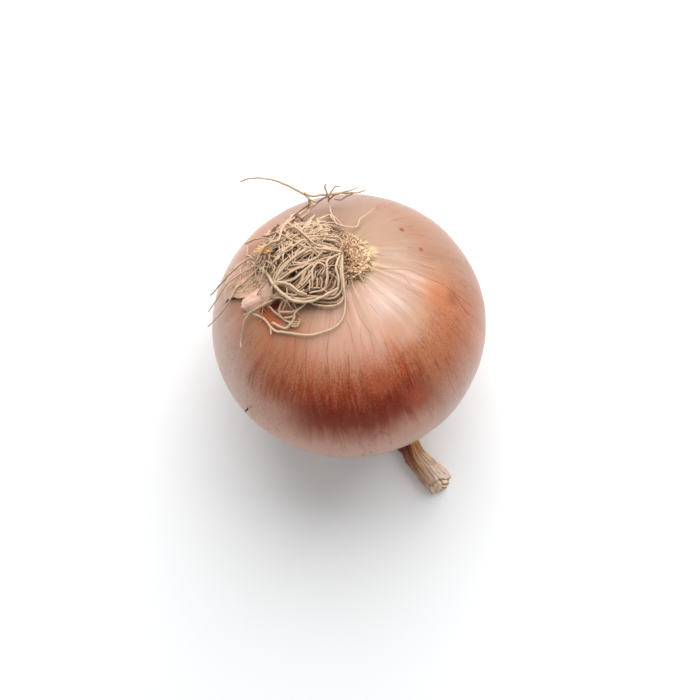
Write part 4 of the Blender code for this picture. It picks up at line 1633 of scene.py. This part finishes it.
@dataclass(frozen=True)
class Neck:
    """The dried neck: a creased, flattened tube lying on the surface, cut off at a slant.

    The wall and the slant of its cut are shares of its radius and of its length, and its girth, its
    reach and its leaves' depth and wall are in millimetres. Each section holds its middle, in the
    row's frame, and its half width and half height, in millimetres. Each leaf has its name, node,
    size, first and last angle in degrees, how far it stands out in millimetres, and the number that
    tells its folds apart.
    """

    sides: int = 120
    rows: int = 84
    lining: int = 12
    girth: float = 22.0
    slant: float = 0.075
    wall: float = 0.09
    reach: float = 38.0
    leaf_cells: tuple[int, int] = (56, 10)
    leaf_depth: float = 4.4
    leaf_wall: float = 0.24
    sections: tuple[tuple[Point, float, float], ...] = (
        ((3.6, -22.6, 8.0), 4.2, 4.2), ((5.4, -24.4, 4.6), 4.6, 3.9), ((8.4, -27.4, 3.1), 4.0, 3.0),
        ((12.2, -31.4, 2.8), 3.2, 2.6), ((15.8, -35.4, 2.6), 2.7, 2.4), ((18.4, -39.0, 2.5), 2.55, 2.3),
        ((20.2, -42.7, 2.5), 2.9, 2.35), ((22.9, -46.0, 2.55), 3.3, 2.45), ((25.6, -49.1, 2.65), 3.4, 2.55),
        ((28.2, -52.2, 2.7), 3.0, 2.4),
    )
    leaves: tuple[tuple[str, tuple[str, ...], float, tuple[int, int], float, int], ...] = (
        ("neck_leaf_outer", ("neck_leaf_outer",), 0.80, (120, 410), -0.2, 3),
        ("neck_leaf_middle", (), 0.60, (-60, 215), -0.5, 5),
        ("neck_leaf_inner", ("neck_leaf_inner",), 0.38, (20, 300), 0.1, 8),
        ("neck_leaf_core", (), 0.17, (-90, 170), -0.6, 12),
    )

    @cached_property
    def middles(self) -> list[Vector]:
        """Middle points of the sections."""
        return [Vector(section[0]) * MM for section in self.sections]

    @cached_property
    def sizes(self) -> list[Vector]:
        """Half widths and half heights of the sections."""
        return [Vector((section[1], section[2], 0)) * MM for section in self.sections]

    def frame_at(self, share: float) -> tuple[Matrix, Vector]:
        """Frame and half sizes at a share of the neck's length, X level across the neck."""
        place = between(self.middles, share)
        ahead = between(self.middles, min(share + 0.01, 1)) - between(self.middles, min(share, 0.999) - 0.01)
        ahead.normalize()
        across = ahead.cross(Vector((0, 0, 1))).normalized()
        turn = Matrix((across, across.cross(ahead), ahead)).transposed().to_4x4()
        return Matrix.Translation(place) @ turn, between(self.sizes, share)

    def creases(self, turn: float, share: float) -> float:
        """Factor on the tube's radius from its lengthwise folds."""
        swung = turn + 1.1 * share
        around = Vector((cos(swung), sin(swung), 0))
        folds = noise.noise(around * 1.9 + Vector((0, 0, share * 2.4))) * 0.26
        pleats = 0.10 - abs(noise.noise(around * 3.6 + Vector((3, 0, share * 3.0)))) * 0.46
        base = ease(0.80, 0.60, share)
        fine = noise.noise(around * 9 + Vector((0, 7, share * 6))) * (0.08 + 0.14 * base)
        crumple = noise.noise(around * 3.0 + Vector((0, 2, share * 14))) * 0.10 * ease(0.5, 0.8, share)
        return 1 + folds * ease(0.0, 0.3, share) + pleats + fine + crumple

    def slant_at(self, turn: float) -> float:
        """How far the slanting cut lies back at an angle, from 0 to 1."""
        return (0.5 + 0.5 * sin(turn + 0.35)) ** 1.3

    def end_share(self, turn: float) -> float:
        """Share of the length at which the ragged, slanting cut lies, by angle."""
        ragged = noise.noise(Vector((cos(turn), sin(turn), 4)) * 2.2) * 0.022
        ragged += noise.noise(Vector((cos(turn), sin(turn), 9)) * 6) * 0.005
        return 1 - self.slant * self.slant_at(turn) - 0.02 + ragged

    def skin_point(self, turn: float, row: float) -> Vector:
        """Point of the sheath; rows past the last one line its inside.

        Args:
            turn: Angle round the neck.
            row: Row number along it.

        Returns:
            The point in the row's frame.
        """
        inside = max(row - self.rows, 0) / self.lining
        share = self.end_share(turn) * min(row / self.rows, 1.0) - 0.10 * inside
        place, size = self.frame_at(share)
        factor = self.creases(turn, share) * (1 - self.wall * min(inside * 6, 1.0) - 0.30 * inside)
        point = place @ Vector((size.x * cos(turn) * factor, size.y * sin(turn) * factor, 0))
        point.z = max(point.z, 0.03 * MM)
        return point

    def build(self) -> None:
        """Build the outer sheath, then the leaves inside its cut end."""
        mesh = bmesh.new()
        ends = loft(mesh, self.sides, [Matrix()] * (self.rows + self.lining + 1))
        turn, row = (mesh.verts.layers.float[name] for name in ("turn", "row"))
        steps = zip(self.middles, self.middles[1:])
        length = sum((after - before).length / MM for before, after in steps)
        self.lay_map(mesh, length)
        for vert in mesh.verts:
            vert.co = self.skin_point(vert[turn], vert[row])
        for edges in ends:
            bmesh.ops.edgeloop_fill(mesh, edges=edges)
        add_piece("neck_sheath", mesh, NeckSkin(self.girth, length).material(), "neck_skin", "neck")
        self.add_leaves()

    def lay_map(self, mesh: Mesh, length: float) -> None:
        """Give the sheath its map in millimetres: round it, and along it from the bulb.

        Args:
            mesh: The sheath's mesh.
            length: Length of the neck, in millimetres.
        """
        layer = mesh.loops.layers.uv.new("sheet")
        turn, row = (mesh.verts.layers.float[name] for name in ("turn", "row"))
        for face in mesh.faces:
            turns = [loop.vert[turn] % (2 * pi) for loop in face.loops]
            wraps = max(turns) - min(turns) > pi
            for loop, angle in zip(face.loops, turns):
                wide = angle + (2 * pi if wraps and angle < pi else 0)
                along = length * min(loop.vert[row] / self.rows, 1.0)
                loop[layer].uv = (wide * self.girth / (2 * pi), along)

    def add_leaves(self) -> None:
        """Dry leaves rolled and folded inside the cut end."""
        finish = PaperySkin("dry_rolled_leaf", "#f0d9bf", "#cda680").material()
        for name, nodes, size, (first, last), proud, seed in self.leaves:
            mesh = bmesh.new()
            lay_grid(mesh, *self.leaf_cells, 6, 3)
            for vert in mesh.verts:
                turn = radians(first + (last - first) * (vert.co.x + 1) / 2)
                vert.co = self.leaf_point(turn, size, (1 - vert.co.y) / 2, proud, seed)
            thicken(mesh, self.leaf_wall)
            add_piece(f"{name}_sheet", mesh, finish, "neck_leaf", *nodes)

    def leaf_point(self, turn: float, size: float, inner: float, proud: float, seed: int) -> Vector:
        """Point of a rolled leaf.

        Args:
            turn: Angle round the neck.
            size: Share of the neck's half sizes.
            inner: How deep inside, from 0 at the cut to 1.
            proud: How far the leaf stands past the cut, in millimetres.
            seed: Number that tells leaves apart.

        Returns:
            The point in the row's frame.
        """
        around = Vector((cos(turn), sin(turn), seed))
        ragged = noise.noise(around * 2.4) * 0.6
        place, half = self.frame_at(1.0)
        back = self.slant * self.reach * self.slant_at(turn) * size * 0.8
        along = (proud + ragged - back) * (1 - inner) - self.leaf_depth * inner
        crumple = 1 + 0.30 * noise.noise(around * 2.4 + Vector((0, 0, along * 0.25)))
        crumple += 0.05 * noise.noise(around * 7)
        across = size * half.x * cos(turn) * crumple
        up = size * half.y * sin(turn) * crumple
        point = place @ Vector((across, up, along * MM))
        point.z = max(point.z, 0.3 * MM)
        return point


# --------------------------------------------------------------------------------------------------
# Loose skins
# --------------------------------------------------------------------------------------------------


class Tone(Enum):
    """Finishes of the loose skins: name, colour and the colour of their darker veins."""

    TAN = ("tan_torn_skin", "#cba287", "#a3765c")
    PINK = ("pink_torn_skin", "#d6b19b", "#c0927b")
    STRAW = ("straw_skin_flake", "#dcb896", "#bd9270")
    RED = ("red_skin_shred", "#7c2515", "#4a120a")
    AMBER = ("amber_skin_flake", "#d6a15f", "#b0743c")
    BROWN = ("brown_skin_shred", "#7a4c36", "#452418")
    DARK = ("dark_skin_chip", "#4a2a1c", "#2a1610")


@dataclass(frozen=True)
class Sheet:
    """A loose skin through rows of points, in millimetres over the bulb or in the row's own frame."""

    name: str
    node: str
    slot: str
    tone: Tone
    rows: tuple[Route, ...]
    thickness: float = 0.16
    ragged: float = 0.5
    wrinkle: float = 0.25
    cells: tuple[int, int] = (40, 40)
    over_bulb: bool = True

    def place(self, form: BulbForm, x: float, y: float) -> Vector:
        """Point of the sheet at two shares from 0 to 1, across the rows and along them."""
        columns = [between([Vector(spot) for spot in row], y) for row in self.rows]
        spot = between(columns, x)
        edge = max(abs(2 * x - 1), abs(2 * y - 1)) ** 6
        tear = noise.noise_vector(Vector((x * 7, y * 7, len(self.name)))) * self.ragged * edge
        crease = noise.noise(Vector((x * 2.6 + y * 1.2, y * 7.5 - x * 2, 3.3))) * self.wrinkle
        height = max(spot.z + crease * (0.3 + min(abs(spot.z), 1.5)), min(spot.z, 0.12))
        place = (spot.x + tear.x, spot.y + tear.y, height)
        return form.over_skin(place) if self.over_bulb else Vector(place) * MM

    def build(self, form: BulbForm) -> None:
        """Lay a grid through the rows and give it its thickness."""
        mesh = bmesh.new()
        lay_grid(mesh, *self.cells, 7, 7)
        for vert in mesh.verts:
            vert.co = self.place(form, (vert.co.x + 1) / 2, (vert.co.y + 1) / 2)
        thicken(mesh, self.thickness)
        finish = PaperySkin(*self.tone.value).material()
        nodes = (self.node,) if self.node else ()
        add_piece(self.name, mesh, finish, self.slot, *nodes)


SHEETS = (
    Sheet("torn_collar_skin", "torn_skin_left", "torn_skin", Tone.TAN, (
        ((-39.6, 4.2, -0.7), (-35.4, 2.6, 0.4), (-31.4, 1.0, 0.9), (-28.6, -0.9, 1.0), (-25.5, -2.2, 0.8),
         (-21.6, -3.9, 0.6), (-17.6, -3.8, 0.5)),
        ((-40.8, 7, -0.7), (-35.6, 6, 0.3), (-32, 4.8, 0.7), (-28.6, 3.2, 0.8), (-25, 2.0, 0.7),
         (-21.4, 0.4, 0.6), (-17, -0.6, 0.5)),
        ((-40.2, 11, -0.7), (-35.6, 10.4, 0.2), (-31.8, 9.4, 0.6), (-28, 8, 0.6), (-24.4, 6.6, 0.6),
         (-20.8, 4.8, 0.5), (-17, 3, 0.5)),
        ((-38.0, 15.0, -0.7), (-34.6, 14.6, -0.1), (-30.8, 14.2, 0.3), (-27.2, 13.0, 0.4), (-24, 11.4, 0.4),
         (-20.8, 9.0, 0.5), (-17.4, 6.6, 0.5)),
    ), cells=(56, 90), ragged=0.9, wrinkle=0.3),
    Sheet("curled_skin_flap", "torn_skin_flap", "torn_skin", Tone.PINK, (
        ((-28.1, -1.6, 0.7), (-25.4, -1.2, 0.8), (-22.0, -0.8, 0.7), (-18.6, -0.2, 0.6)),
        ((-28.7, -3.0, 1.3), (-25.3, -3.2, 1.7), (-21.7, -2.8, 1.4), (-18.5, -2.2, 1.0)),
        ((-28.7, -4.6, 1.5), (-25.4, -5.2, 1.9), (-21.8, -5.0, 1.5), (-18.6, -4.2, 1.0)),
        ((-27.9, -6.2, 0.6), (-25.6, -6.8, 0.8), (-22.4, -6.4, 0.7), (-19.1, -5.8, 0.5)),
    ), wrinkle=0.1, ragged=0.6, cells=(44, 60)),
    Sheet("amber_flake", "skin_flake_amber", "amber_skin", Tone.AMBER, (
        ((-22.8, 10.8, 1.4), (-20.6, 9.8, 3.0), (-18.2, 8.4, 4.6), (-15.8, 6.8, 5.3)),
        ((-21.8, 8.8, 2.3), (-19.6, 7.4, 4.3), (-17.2, 6.0, 5.4), (-15.0, 5.2, 5.6)),
        ((-20.4, 6.8, 2.8), (-18.6, 5.4, 4.4), (-16.6, 4.2, 5.2), (-14.4, 3.8, 5.4)),
    ), cells=(30, 34)),
    Sheet("tan_flake", "skin_flake_tan", "torn_skin", Tone.STRAW, (
        ((-20.8, 14.6, 0.9), (-18.8, 16.4, 1.5), (-16.4, 16.2, 2.0)),
        ((-19.9, 13.6, 1.2), (-18.0, 14.8, 1.9), (-15.8, 14.2, 2.4)),
        ((-19.0, 12.4, 1.2), (-17.0, 12.6, 1.9), (-15.0, 12.0, 2.4)),
    ), cells=(24, 24)),
    Sheet("upper_flake", "skin_flake_upper", "torn_skin", Tone.STRAW, (
        ((-13.4, 17.2, 0.8), (-11.6, 18.2, 1.4), (-9.6, 18.8, 2.2)),
        ((-12.8, 15.8, 1.4), (-11.0, 16.6, 2.0), (-9, 17.2, 2.6)),
        ((-12.2, 14.6, 1.4), (-10.4, 15.0, 2.2), (-8.6, 15.6, 2.8)),
    ), cells=(24, 24)),
    Sheet("upper_brown_shred", "", "dark_skin", Tone.BROWN, (
        ((-10.1, 14.3, 2.4), (-9.1, 15.3, 3.2), (-7.9, 16.2, 3.6), (-6.9, 14.4, 3.4), (-6.1, 12.7, 2.8)),
        ((-9.3, 13.6, 2.4), (-8.5, 14.3, 3.2), (-7.8, 14.9, 3.6), (-7.3, 13.7, 3.3), (-6.8, 12.4, 2.7)),
    ), cells=(10, 40), ragged=0.3, wrinkle=0.2),
    Sheet("left_brown_shred", "", "dark_skin", Tone.BROWN, (
        ((-15.8, 13.2, 2.6), (-14.6, 14.4, 3.1), (-13.2, 15.4, 3.1)),
        ((-15.1, 12.3, 2.8), (-13.9, 13.3, 3.3), (-12.6, 14.1, 3.3)),
    ), cells=(10, 20), ragged=0.4, wrinkle=0.2),
    Sheet("neck_base_shred", "", "neck_skin", Tone.RED, (
        ((15.2, -33.8, 4.6), (17.0, -37.0, 4.5), (18.2, -39.6, 4.4), (18.8, -42.0, 4.0)),
        ((13.6, -35.0, 3.8), (15.2, -38.2, 3.9), (16.4, -40.6, 3.8), (17.6, -42.6, 3.3)),
        ((12.2, -36.0, 2.4), (13.4, -38.8, 2.6), (14.6, -40.3, 2.9), (16.2, -41.8, 2.5)),
    ), cells=(16, 28), ragged=0.4, wrinkle=0.25, over_bulb=False),
    Sheet("dark_skin_chip", "skin_chip_low", "dark_skin", Tone.DARK, (
        ((-46.0, -31.9, 0.3), (-45.4, -32.1, 0.9), (-44.8, -32.3, 1.7)),
        ((-45.8, -32.5, 0.3), (-45.2, -32.7, 1.0), (-44.7, -32.8, 1.7)),
    ), cells=(8, 8), ragged=0.15, wrinkle=0.1),
)


# --------------------------------------------------------------------------------------------------
# The studio
# --------------------------------------------------------------------------------------------------


@dataclass(frozen=True)
class Softbox:
    """A square area light that faces the onion."""

    name: str
    towards: Point
    distance: float
    size: float
    watts: float

    def build(self, target: Vector) -> None:
        """Hang the light in its direction from the target."""
        light = bpy.data.lights.new(self.name, "AREA")
        light.shape = "SQUARE"
        light.size = self.size
        light.energy = self.watts
        lamp = bpy.data.objects.new(self.name, light)
        aim = Vector(self.towards).normalized()
        lamp.location = target + aim * self.distance
        lamp.rotation_euler = aim.to_track_quat("Z", "Y").to_euler()
        bpy.context.scene.collection.objects.link(lamp)


@dataclass(frozen=True)
class Studio:
    """Pale floor, white room, a large soft light and the camera straight above."""

    form: BulbForm
    lens: float = 100.0
    sensor: float = 36.0
    view_width: float = 191.9 * MM
    offset: tuple[float, float] = (0.22 * MM, -6.8 * MM)
    floor_half_width: float = 2.0
    floor_tint: Rgba = (0.925, 0.94, 0.95, 1)
    sky: float = 0.46
    light: Softbox = Softbox("key_softbox", (0.13, 0.78, 0.61), 0.8, 1.05, 14.3)

    def build(self) -> None:
        """Add floor, sky, light and camera."""
        mesh = bmesh.new()
        bmesh.ops.create_grid(mesh, x_segments=1, y_segments=1, size=self.floor_half_width)
        material, _, shader = new_material("matt_white_table", 0.8)
        shader.inputs["Base Color"].default_value = self.floor_tint
        floor = add_object("studio_floor", mesh, material)
        world = bpy.data.worlds.new("soft_white_room")
        world.use_nodes = True
        background = world.node_tree.nodes["Background"]
        background.inputs["Color"].default_value = (1, 1, 1, 1)
        background.inputs["Strength"].default_value = self.sky
        bpy.context.scene.world = world
        bpy.context.scene.view_settings.view_transform = "Standard"
        centre = self.form.matrix.to_translation()
        self.light.build(centre)
        self.add_camera(centre)

    def add_camera(self, centre: Vector) -> None:
        """Camera straight above the bulb, with the picture's top towards +Y."""
        lens = bpy.data.cameras.new("camera_above")
        lens.lens = self.lens
        lens.sensor_width = self.sensor
        camera = bpy.data.objects.new("camera_above", lens)
        height = self.view_width * self.lens / self.sensor
        camera.location = centre + Vector((*self.offset, height))
        bpy.context.scene.collection.objects.link(camera)
        bpy.context.scene.camera = camera


def main() -> None:
    """Build the onion piece by piece over the frame, then the studio."""
    logging.basicConfig(level=logging.INFO, format="%(message)s")
    noise.seed_set(NOISE_SEED)
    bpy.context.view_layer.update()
    form = BulbForm()
    Bulb(form).build()
    SkinVeins(form).build()
    RootPlate(form).build()
    RootTuft(form).build()
    LongRoots(form).build()
    Neck().build()
    for sheet in SHEETS:
        sheet.build(form)
    Studio(form).build()


if __name__ == "__main__":
    main()
